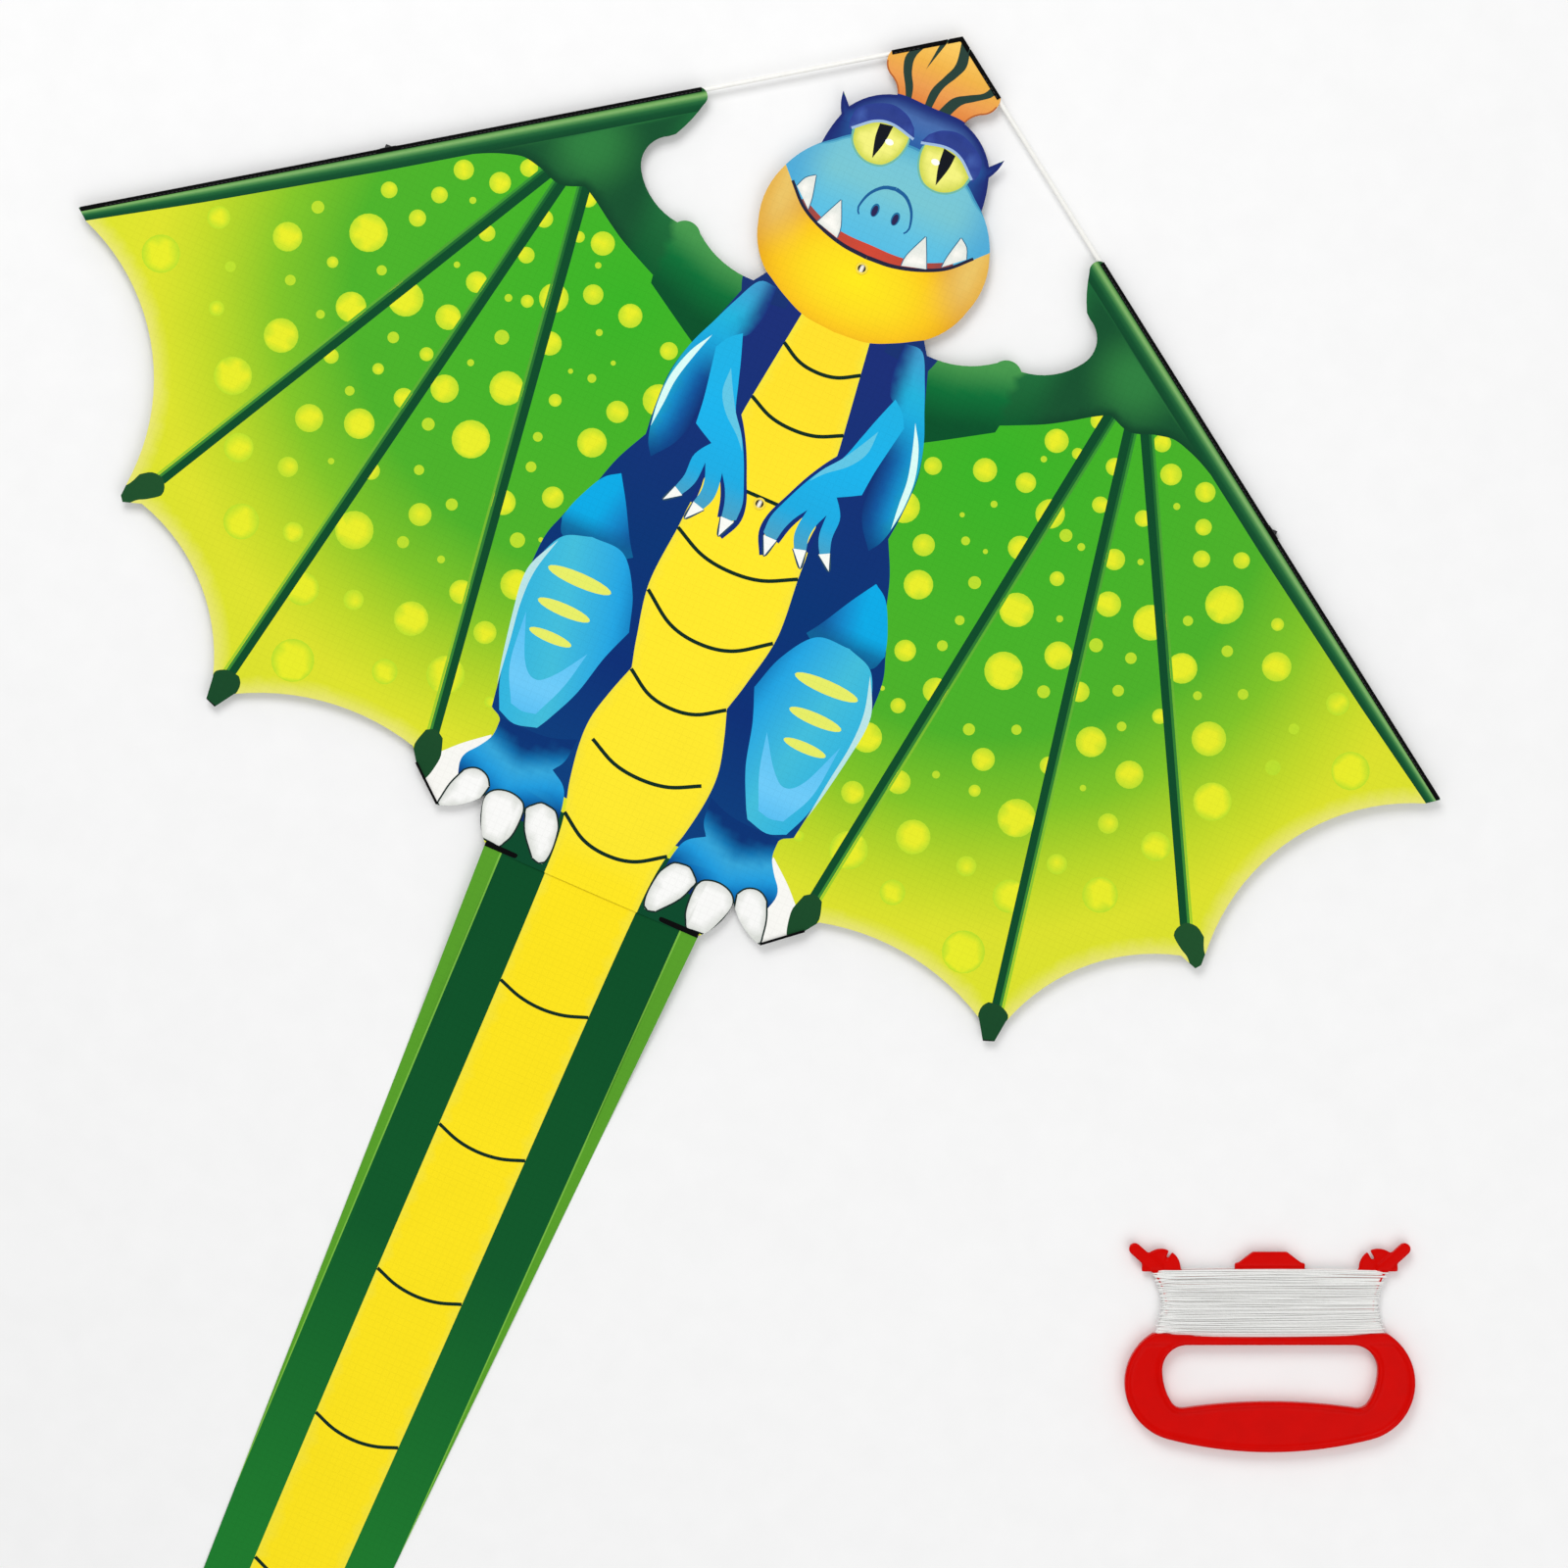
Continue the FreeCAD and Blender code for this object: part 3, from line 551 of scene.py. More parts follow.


# spots of the right wing, read off a straightened view of the photo: across, up, radius in mm
SPOTS = (
    (106.7, 77, 6.7), (99, 40.5, 12), (143.3, 89.5, 9), (174.8, 93, 7.6), (183.3, 130.5, 9),
    (201.4, 128, 4.3), (180, 114.3, 2.4), (206.7, 157, 7), (159.5, 69, 2.6), (200.5, 79, 11),
    (217.6, 69, 4.8), (231.4, 65.7, 2.9), (190, 47, 9), (141, 52.4, 1.9), (151, 35.7, 3.3),
    (167.6, 34.3, 1.9), (224.3, 37, 5.5), (123.8, 20.5, 8.3), (169.5, 10, 4.8), (131.9, -8, 11),
    (206, 3.8, 12.8), (238, 10.5, 2.6), (170.5, -20, 3.6), (166.2, -42.4, 4), (142.4, -56.7, 8.1),
    (215.2, -41.4, 14.3), (248.6, -43.8, 4.8), (248, -14.8, 10.5), (270.5, 3.3, 5.2), (298, 4.8, 4.3),
    (299, -21, 4.3), (272.9, -33.3, 7.6), (266.7, 34.8, 9.5), (301, 34.8, 13.3), (257.6, 67, 8),
    (276.2, 73, 2.4), (231.9, 100, 6.2), (265, 103.3, 6.2), (230.5, 130, 6.7), (255.7, 160, 6.7),
    (271, 141.4, 8.1), (299.5, 139.5, 7.6), (284.3, 121.4, 2.6), (308.6, 115.2, 6.2), (316.7, 93, 6.4),
    (344.3, 103.8, 6.2), (345.7, 68.6, 14.3), (325.7, 47, 3.8), (335.7, 13, 11.4), (361.4, 38, 4.3),
    (354.3, -1, 3.3), (387.6, 71, 4.8), (399.5, 42, 11), (451.9, 34.8, 8.6), (384.8, 13.3, 4),
    (429.5, 4.8, 4), (480.5, -7, 14.3), (426.7, -27.6, 5.7), (374.8, -27, 12.9), (395.7, -68.6, 14.3),
    (334.8, -26.2, 5.7), (311.9, -44.3, 3.6), (295.7, -63.8, 11.4), (241.4, -77.6, 3.8),
    (331.4, -74.8, 10.5), (303.8, -97.6, 2.4), (273.8, -92.4, 6.7), (209, -91.4, 4.5),
    (174.8, -74.8, 9.5), (227.6, -107.6, 8.6), (153.8, -96.2, 5.7), (138, -89, 1.9),
    (141.9, -127, 11.4), (370.5, -115.7, 11), (331.4, -114.3, 7.6), (267.6, -137.6, 14.3),
    (231, -131.4, 4.5), (200, -131.9, 2.9), (176.7, -148, 9), (308.6, -157, 7.6), (347, -165.2, 13.3),
    (148.6, -168.6, 8.6), (202.9, -181, 12.9), (247.6, -185.2, 7.6), (285.7, -192.9, 12.4),
    (162.9, -209, 14.3), (124.8, -214.3, 4), (205.2, -224.8, 9.5), (271, -244.3, 16),
)


def draw_spots():
    """Round yellow spots strewn over the wing skin."""
    for x, y, radius in SPOTS:
        draw(oval(x, y, 2 * radius), rimmed(plain("e6ea28"), "b9dc2c", min(1.2, radius)))


def draw_finger(start, end):
    """Wing bone: a dark inner side that turns green, and a bright outer side."""
    start, end = np.array(start, float), np.array(end, float)
    way = (end - start) / np.linalg.norm(end - start)
    side = np.array([-way[1], way[0]])
    bright = across(start, end, (0, "2c8a32"), (0.5, "5fae31"), (1, "a3cf2c"))
    middle = across(start, end, (0, "135f2c"), (1, "3b8a35"))
    for shift, width, end_width, paint in ((4.4, 1.8, 1.6, bright), (2.2, 2.6, 2.2, middle),
                                           (-1.6, 6.4, 5.6, plain("064a28"))):
        draw(ribbon([start + side * shift, end + side * shift], width, end_width), paint)


def draw_bones():
    """Three wing fingers and their claws."""
    draw_finger((238, 170), (414, -160))
    draw_finger((229, 166), (311, -275))
    draw_finger((215, 181), (153.5, -256))
    claw = across((0, 0), (0, -1), (150, "1e502a"), (300, "154727"))
    draw(loop([(409, -165), (409, -171), (418, -178), (425, -182), (433.5, -192)],
              [(442, -183), (434, -172), (430, -163)], [(422, -158), (413, -159), (409, -165)]), claw)
    draw(loop([(303, -271), (300, -275), (299.5, -282), (304, -292), (309, -304)],
              [(322, -300), (321, -280), (320, -274), (312, -270), (303, -271)]), claw)
    draw(loop([(146, -253), (143, -262), (142, -268), (144, -280), (147, -288)],
              [(159, -282), (163, -268), (163, -262), (160, -252)], [(153, -249), (146, -253)]), claw)
    draw(ribbon([(309, -299.5), (319, -296.5)], 2.4), "0c120e")
    draw(ribbon([(158, -277.5), (130, -301)], 2.6), "0c0d0d")


def arm_paint(p, edge):
    """Lit along the top and dark below; a glow in the palm and a lighter cuff next to the body."""
    top = np.interp(p[:, 0], [60, 98, 139, 160], [150, 154, 167, 178])
    cuff = ramp(top - p[:, 1], [(0, "46964c"), (20, "066f36"), (46, "014f28")])
    arm = ramp(top - p[:, 1], [(0, "1d6c39"), (50, "015229")])
    palm = mix(np.tile(linear("12502d"), (len(p), 1)), linear("2c7c3d"),
               1 - fade(np.linalg.norm(p - (220, 195), axis=1), 6, 46))
    palm = mix(palm, linear("0b4227"), 1 - fade(distance(p, edge), 0, 8))
    shade = mix(cuff, arm, p[:, 0] > 139.6)
    return mix(shade, palm, fade(p[:, 0], 150, 176))


def band_paint(upper, lower, light, dark, places, shares):
    """Paint across one band of the leading bone, which narrows towards the wing tip."""
    def paint(p, edge):
        share = np.interp((p - LEADING_START) @ LEADING_WAY, places, shares)
        return ramp(inward(p) / share, [(upper, light), (lower, dark)])
    return paint


def draw_wing_arm():
    """Arm, palm and thumb, then the bone along the leading edge."""
    draw(loop([(60, 152), (118, 182), (139.5, 186)], [(130, 250), (150, 290)], [(420, 110)], [(330, 133)],
              [(310, 146), (290, 157), (275, 163), (262, 166), (248, 163.5)], [(230, 158), (212, 164)],
              [(200, 157), (185, 147), (170, 138), (150, 128.5), (140, 124)], [(139, 118)],
              [(100, 93.8), (88, 87)], [(72, 120), (60, 152)]), arm_paint)
    bone = [(-4, "14301c"), (3, "1d5a2b"), (4.6, "6fa65a"), (6, "7fb16a"), (8, "4b8a4c"), (10, "226638"),
            (13, "0d4f2c"), (17, "0b4628")]
    first, last = 190, np.linalg.norm(WING_TIP - LEADING_START)
    for (upper, light), (lower, dark) in zip(bone, bone[1:]):
        shares = (1, 0.95, 0.8, 0.6)
        places = (first, 440, last - 90, last + 4)
        top = [leading(t, upper * s) for t, s in zip(places, shares)]
        low = [leading(t, lower * s) for t, s in zip(places, shares)]
        draw(np.array(top + low[::-1]), band_paint(upper, lower, light, dark, places, shares))


def draw_body():
    """Navy flanks with the belly and its rings."""
    draw(loop([(0, 150), (72, 150)], [(85, 111), (94, 89), (100, 64), (100, 36), (98, 14)],
              [(110, -11), (119, -39), (130, -64)], [(137, -90), (136, -140), (128, -180), (122, -217)],
              [(112, -225), (112, -250)], [(0, -262)]),
         down((130, "162c75"), (20, "0a2f74"), (-60, "003273"), (-150, "032d74"), (-230, "033c7b")))
    draw(polygon((30, -270), (77, -262), (74, -330), (30, -330)), "03482a")
    draw(loop([(40, 140), (40, 168), (76, 168)], [(79, 152), (74, 136)], [(40, 140)]),
         "14306f")
    belly = rimmed(down((140, "fbdc2a"), (-40, "fee62a"), (-280, "fbe62c"), (-300, "fce41e")), "f3e23a", 6)
    draw(loop([(0, 145), (27, 145)], [(37, 70), (39, 52), (44, 10), (47.4, -20), (48.5, -40), (51.7, -86),
               (44.3, -126), (38.5, -149)],
              [(46, -172), (51.5, -195), (51.5, -217), (47, -245), (41, -268), (37.8, -295), (37.2, -330)],
              [(0, -330)]), belly)
    rings = ((117, 106, 31), (71, 60, 37), (4.5, 4.5, 15), (-40, -55, 48.5), (-91, -113, 50.5),
             (-150, -165.5, 38.5), (-209, -222.5, 44), (-267, -284, 41.5))
    for end_y, mid_y, half in rings:
        points = [(half * t, mid_y + (end_y - mid_y) * abs(t) ** 2.2) for t in (-1, -0.5, 0, 0.5, 1)]
        draw(ribbon(points, 2.8), INK, both=False)


def draw_leg():
    """Thigh, calf, foot and three claws."""
    draw(loop([(103, -20), (114.7, -29), (125.6, -51), (130.5, -67)], [(124, -80), (100, -84)],
              [(80, -80), (70, -74)], [(78, -62), (91, -39), (103, -20)]),
         thigh_paint)
    draw(loop([(104, -72), (124, -80), (134, -100), (138, -120), (135, -142), (129, -176), (124, -198),
               (116, -217)], [(102, -222), (85, -218)], [(79, -207), (68, -182), (60, -151), (50.6, -126)],
              [(60, -98), (78, -74), (104, -72)]),
         across((54, -110), (138, -130), (0, "0f7fc0"), (0.14, "1fa3e0"), (0.6, "41bbd8"), (1, "2fb2dc")))
    draw(loop([(72.5, -153), (79, -182), (90, -209)], [(100, -211), (110, -209)],
              [(122.5, -182), (127, -142)], [(113, -176), (100.6, -185.6), (88, -176), (72.5, -153)]),
         down((-142, "53bdee"), (-190, "6dc9f6"), (-211, "58bdf0")))
    draw(loop([(126, -84), (137, -106), (139, -122), (136, -145), (130, -178), (125, -200)],
              [(129, -168), (133.2, -138), (133, -112), (126, -84)]), "b9e2e4")
    for x, y, width, height in ((99.7, -105, 51, 10.6), (101.6, -130, 42, 9.4), (102.8, -152.5, 34, 8)):
        draw(oval(x, y, width, height), "e4eb65")
    draw(loop([(54, -214), (70, -220), (86, -222), (112.5, -222)],
              [(113, -236), (119, -247), (126, -256), (127.5, -264), (124, -276)], [(90, -286), (42, -284)],
              [(45, -262), (50, -250), (62, -242)], [(56, -232), (54, -214)]), foot_paint)
    claws = (
        loop([(50, -308), (41.5, -309), (38.5, -298), (41, -279), (48, -269)],
             [(60, -267.5), (69, -276)], [(63, -292), (50, -308)]),
        loop([(90.6, -309), (75.6, -310)], [(70, -298), (69.4, -279), (74, -272), (85, -269)],
             [(96, -273), (100.6, -282), (96, -298), (90.6, -309)]),
        loop([(100, -272), (105, -265), (115, -263), (122.5, -268)], [(128, -282), (131, -301)],
             [(116, -295), (104, -286), (100, -272)]),
    )
    for edge in claws:
        draw(edge, rimmed(plain("f8f8f6"), "d5d8d2", 5))
        draw(ribbon(np.vstack([edge, edge[:1]])[::2], 1.3), "152a26")


def thigh_paint(p, edge):
    """Blue that darkens into the flank and into the fold above the calf."""
    blue = ramp(p[:, 0] + 0.25 * (p[:, 1] + 50), [(74, "0a4f96"), (90, "0c86c8"), (106, "02a8e3")])
    return mix(blue, linear("066094"), fade(-p[:, 1], 56, 76))


def foot_paint(p, edge):
    """Dark ankle that opens into a bright instep, and a dark fold above the claws."""
    dip = p[:, 1] + 14 * np.clip(1 - abs(p[:, 0] - 88) / 34, 0, 1)
    return ramp(dip, [(-272, "03266b"), (-262, "0471b8"), (-252, "1d9bdc"), (-240, "34a5d8"),
                      (-231, "0b73b0"), (-222, "023274")])


def upper_arm_paint(p, edge):
    """Bright shoulder; lower down it is dark towards the forearm."""
    low = ramp(p[:, 0] + (p[:, 1] - 60) * 0.05,
               [(68, "0a2a6e"), (79, "0a559c"), (90, "0e8dca"), (99, "1caac3")])
    low = mix(low, linear("033878"), 1 - fade(p[:, 1], -6, 34))
    high = ramp(p[:, 1], [(95, "16a8dc"), (120, "1fb0d8"), (150, "3f9ccc")])
    high = mix(high, linear("15317a"), 1 - fade(p[:, 0] + 0.1 * (p[:, 1] - 120), 54, 70))
    return mix(low, high, fade(p[:, 1], 66, 106))


def draw_arm():
    """Upper arm, forearm with a three-fingered hand, and their highlights."""
    draw(loop([(52, 152), (66, 151), (77, 130), (85, 111), (94, 89), (99.5, 64), (99.5, 36), (95, 12),
               (88, 0)], [(74, 20), (68, 50), (72, 75), (75, 92)],
              [(66, 106), (57, 112), (52, 130), (52, 152)]), upper_arm_paint)
    draw(loop([(82, 101), (92, 84), (98.5, 62), (99.3, 40), (97, 21)],
              [(95, 40), (93.5, 60), (88, 82), (82, 101)]), "d7f9f3")
    draw(ribbon([(45, 60), (35, 46), (26, 30), (18, 12), (11, -5), (10, -19), (17, -34)], 4.5),
         "0b2c77")
    hand = loop([(61.6, 111), (55, 92), (50, 76), (43, 55), (33, 42), (25, 28), (17, 10), (11.5, -5),
                 (11, -18)], [(16, -21), (22, -20)], [(24, -10), (28, 0), (34.5, 10)],
                [(32.5, -2), (33, -12), (37, -21)], [(41, -21), (45.5, -18)],
                [(43.5, -8), (45, 2), (49, 12)], [(49.5, -2), (52, -10), (56, -17)],
                [(60, -15.5), (62.5, -13)], [(59.5, -2), (59.5, 12), (56, 20), (50.6, 27)],
                [(60, 32), (67, 36)], [(69, 55), (73, 78), (76, 94)], [(70, 104), (61.6, 111)])
    draw(ribbon([(23, -21), (27, -6), (34.5, 10)], 3.6), "0b2c77")
    draw(ribbon([(46, -19), (46.5, -4), (49, 12)], 3.4), "0b2c77")
    draw(hand, down((110, "1cafe0"), (50, "16b1e9"), (5, "1aa9df"), (-20, "4a9ebf")))
    draw(loop([(59.5, 84), (58.5, 66), (50, 52), (36, 40), (27, 30)],
              [(33, 42), (43, 55), (52, 70), (59.5, 84)]), "5fc4e2")
    for tip, left, right in (((18.4, -34), (12, -20), (22.5, -20)), ((46.6, -32), (36, -20.5), (45.5, -18)),
                             ((67, -25.5), (55, -17), (62.5, -13))):
        draw(ribbon([left, tip, right], 1.6), "274a63")
        draw(polygon(left, tip, right), "f6f8f2")


def draw_crest():
    """Orange crest with dark wavy stripes."""
    draw(polygon((0, 400), (60, 360), (45, 318), (0, 318)),
         down((377, "fbd068"), (350, "ecb048"), (332, "e89b50"), (319, "dd7f3c")))
    stripes = (
        ([(-25.7, 361), (-32.7, 349), (-30.7, 338), (-24.2, 326.5), (-19.7, 317)],
         [(-15.7, 317), (-18.7, 328.5), (-24.2, 339), (-25.7, 351), (-17.7, 367)]),
        ([(-12.5, 369), (-15.2, 344)], [(-15.2, 344), (-7.5, 372)]),
        ([(0.5, 376), (3.7, 357), (-0.2, 345), (-5.4, 332), (-5.4, 317)],
         [(-0.2, 317), (1.8, 335), (8.3, 348), (11.8, 358), (9, 371)]),
        ([(35.3, 353), (31.3, 345), (21.3, 339), (11.3, 332), (4.5, 317)],
         [(13.5, 317), (19.3, 330), (26.8, 336), (37.3, 344), (40, 349)]),
    )
    for left, right in stripes:
        edge = loop(left, right[1:]) if left[-1] == right[0] else loop(left, right[:1], right[1:])
        draw(edge, "284038", both=False)
    side = edge_part(lambda x, y: 26 < x < 44.5 and 317 < y < 347.5)
    draw(ribbon(side, 2.4), "b4622e")


def skull_paint(p, edge):
    """Navy crown that lightens towards the middle and the brow."""
    crown = ramp(p[:, 1], [(262, "16306f"), (290, "2a5fa4"), (308, "4a6fae"), (320, "34559a")])
    return mix(crown, linear("1b2a72"), 1 - fade(distance(p, edge), 0, 15))


def face_paint(p, edge):
    """Sky-blue muzzle, paler across the snout and dark at the cheeks."""
    face = ramp(p[:, 1], [(196, "4fb9e2"), (225, "5dbddd"), (250, "76c3cf"), (272, "74c2d2"),
                          (288, "57b0cc")])
    cheek = fade(abs(p[:, 0]), 46, 80)
    return mix(face, linear("3f9ed2"), 0.75 * cheek)


def jaw_paint(p, edge):
    """Yellow chin, orange towards its lower edge and tan at the corners of the mouth."""
    chin = ramp(np.linalg.norm((p - (0, 180)) * (0.78, 1.25), axis=1),
                [(0, "fce618"), (30, "f9d81c"), (48, "f7c41a"), (57, "eab01c"), (64, "dc9a1a")])
    chin = mix(chin, linear("e8c468"), fade(p[:, 0], 44, 80) * fade(p[:, 1], 168, 216))
    return mix(chin, linear("dfa63a"), 0.7 * fade(p[:, 0], 74, 88))


def draw_head():
    """Skull, muzzle, brows, eyes, snout, jaw, mouth and fangs."""
    draw(loop([(0, 260), (110, 260)], [(110, 160)], [(66, 161)],
              [(59.7, 157.5), (44.7, 149), (25.2, 141), (0, 138.5)]), jaw_paint)
    crown = loop([(0, 320), (27, 319.5), (45, 309), (57, 297)], [(66, 306)], [(62.5, 290)],
                 [(60, 284), (63, 272), (66, 262)], [(30, 240), (0, 240)])
    draw(crown, skull_paint)
    draw(ribbon(edge_part(lambda x, y: 26.8 < x < 70 and 262 < y < 319), 4.4), NAVY)
    for width, tone in ((9, "3f8fb9"), (4, "5aaeca"), (0, None)):
        rise = width * 0.35
        muzzle = loop([(0, 285 + rise), (25, 283.5 + rise), (45, 276 + rise), (58, 266 + rise), (72, 258)],
                      [(110, 258)], [(84, 240)], [(73, 228.5)],
                      [(58, 215), (40, 206), (20, 200.5), (0, 199)])
        draw(muzzle, tone or face_paint)
    draw_mouth()
    draw_eye()
    snout = [(0, 254), (9, 251.5), (17, 243), (20.5, 231), (18, 226)]
    draw(ribbon(snout, 3.0, 1.2), "1b5c96")
    draw(ribbon([(-x, y) for x, y in snout], 3.0, 1.2), "1b5c96", both=False)
    draw(oval(8.2, 233.5, 6.2, 10.5), "1f6f9e")
    draw(oval(8.2, 233, 4.2, 8.6), "2a2350")


def draw_mouth():
    """Mouth line, gum and two fangs."""
    draw(loop([(0, 208.5), (20, 208.6), (40, 212), (60, 221)],
              [(62, 218), (40, 206), (20, 200.5), (0, 199)]),
         across((0, 0), (62, 0), (0, "cf4734"), (0.6, "b84634"), (1, "7d4a4c")))
    draw(ribbon([(0, 199), (20, 200.5), (40, 206), (58, 215), (73, 229.5)], 3.2, 2.2), "24243c")
    for outer, inner, apex in (((68.4, 227), (54, 214.5), (58.6, 240)),
                               ((44, 208.5), (26, 203.5), (34.2, 230.5))):
        left = [outer, (outer[0] - 3.4, outer[1] + 8), apex]
        right = [apex, (inner[0] + 0.8, inner[1] + 9), inner]
        draw(ribbon(left, 1.4), "2a6788")
        draw(ribbon(right, 1.4), "2a6788")
        draw(loop(left, right[1:]), rimmed(plain("f9f7f0"), "dfe3dc", 3))


def draw_eye():
    """Heavy lid over a yellow eye with a slit pupil."""
    lid = loop([(52, 288), (50, 298), (40, 306), (26.7, 310.5), (14, 307.5), (6, 301)], [(2.5, 293)],
               [(21.3, 298), (35, 295), (50, 281)], [(52, 288)])
    draw(lid, rimmed(down((286, "5f86c4"), (296, "3c55a4"), (303, "27357d"), (311, "2a3f8c")), "2c3f8e", 3))
    eye = loop([(6.5, 293), (22, 296.3), (34, 293.3), (46, 283.5)],
               [(44, 275), (37.5, 268), (28, 264.5), (17, 266.5), (9.5, 275), (6.5, 285), (6.5, 293)])
    draw(ribbon(np.vstack([eye, eye[:2]])[::2], 3.0), "6fb6a4")
    draw(eye, rimmed(plain("f0ee7c"), "cdd352", 6))
    draw(ribbon([(48.5, 282.5), (34.7, 294), (21.3, 297), (3, 293)], 2.0), "9db9dc")
    draw(loop([(20.5, 296), (30.5, 294)], [(29.6, 283), (25.6, 268)],
              [(21.8, 282), (20.5, 296)]), "10131c")
    draw(oval(18.6, 284, 6.5, 4.6), "fdfdf4")


# ---------------------------------------------------------------- artwork of the tail

TAIL_TOP = -315.0
TAIL_HEM_Y = -312.0
TAIL_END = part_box("tail_panel_4")[0].y / MM
TAIL_TOP_HALF = 86
TAIL_TAPER = 0.039               # half width lost with each millimetre of length
FIRST_RING = -400.0
RING_GAP = 116.5


def tail_half(y):
    """Half width of the tail at height y."""
    return TAIL_TOP_HALF - TAIL_TAPER * (TAIL_TOP - y)


def draw_tail():
    """Green tail with bright edges near the top and a ringed yellow belly down the middle."""
    sides = down((-300, "034b25"), (-600, "095828"), (-850, "1b7a2c"), (-1300, "1f8230"), (-1720, "2a9136"))
    draw(polygon((-120, -300), (120, -300), (120, -1760), (-120, -1760)), sides, both=False)
    draw(polygon((72.6, -300), (130, -300), (130, -820), (66.6, -820)), "579d28")
    draw(polygon((72.0, -300), (73.4, -300), (66.9, -820), (66.1, -820)), "79b944")
    belly = [(37.0, -300), (35.5, -400), (33.4, -748), (27.0, -1250), (20.5, -1560), (12, -1650), (0, -1685)]
    right = curve(belly, step=8)
    draw(np.vstack([right, (right * (-1, 1))[::-1]]), rimmed(plain("fce31a"), "f3e23a", 5), both=False)
    ring_y = FIRST_RING
    while ring_y > -1600:
        half = np.interp(-ring_y, [-y for x, y in belly], [x for x, y in belly])
        points = [(half * t, ring_y - 8 * (1 - t ** 2)) for t in (-1, -0.5, 0, 0.5, 1)]
        draw(ribbon(points, 2.6), INK, both=False)
        ring_y -= RING_GAP


# ---------------------------------------------------------------- cloth

CLOTH_THICK = 0.3
SHOWN_THROUGH = 0.22             # share of pale cloth in the print as seen from behind


def fill_points(edge, spacing, keep_off):
    """Points of a triangular grid inside an outline, clear of the points already there."""
    tree = kdtree.KDTree(len(keep_off))
    for number, (x, y) in enumerate(keep_off):
        tree.insert((x, y, 0), number)
    tree.balance()
    low, high = edge.min(0), edge.max(0)
    rows = np.arange(low[1], high[1], spacing * 0.87)
    grid = np.array([(x + (number % 2) * spacing / 2, y) for number, y in enumerate(rows)
                     for x in np.arange(low[0], high[0], spacing)])
    grid = grid[inside(grid, edge)]
    return np.array([p for p in grid if tree.find((*p, 0))[2] > spacing * 0.4])


def split_long(edge, step):
    """The outline with points added where it is straight for longer than step."""
    out = []
    for a, b in zip(edge, np.roll(edge, -1, 0)):
        count = max(1, math.ceil(np.linalg.norm(b - a) / step))
        out += [a + (b - a) * i / count for i in range(count)]
    return np.array(out)


def triangulate(edge, shapes, lines, spacing):
    """Triangles over the cloth whose sides follow its outline, every shape drawn on it and some lines."""
    points, sides = [], []
    for outline, closed in [(edge, True)] + [(s, True) for s in shapes] + [(line, False) for line in lines]:
        start, count = len(points), len(outline)
        points += list(outline)
        sides += [(start + i, start + (i + 1) % count) for i in range(count if closed else count - 1)]
    points += list(fill_points(edge, spacing, np.array(points)))
    found = geometry.delaunay_2d_cdt([Vector(p) for p in points], sides, [], 0, 0.02, False)
    flat = np.array([tuple(v) for v in found[0]])
    triangles = np.array([f for f in found[2] if len(f) == 3])
    middle = flat[triangles].mean(1)
    triangles = triangles[inside(middle, edge)]
    a, b, c = (flat[triangles[:, i]] for i in range(3))
    area = (b - a)[:, 0] * (c - a)[:, 1] - (b - a)[:, 1] * (c - a)[:, 0]
    triangles[area < 0] = triangles[area < 0][:, ::-1]
    used, numbers = np.unique(triangles[abs(area) > 1e-6], return_inverse=True)
    return flat[used], numbers.reshape(-1, 3)


def paint_corners(flat, triangles, drawn):
    """Colour of every triangle corner, from the topmost shape at the triangle's middle."""
    middle = flat[triangles].mean(1)
    top = np.zeros(len(triangles), int)
    for number, (edge, paint, flipped) in enumerate(drawn):
        top[inside(middle, edge)] = number
    corners = flat[triangles].reshape(-1, 2)
    colours = np.zeros((len(corners), 3))
    for number, (edge, paint, flipped) in enumerate(drawn):
        chosen = np.repeat(top == number, 3)
        if chosen.any():
            side = np.array([-1, 1]) if flipped else np.array([1, 1])
            colours[chosen] = paint(corners[chosen] * side, edge * side)
    return np.clip(colours, 0, 1)


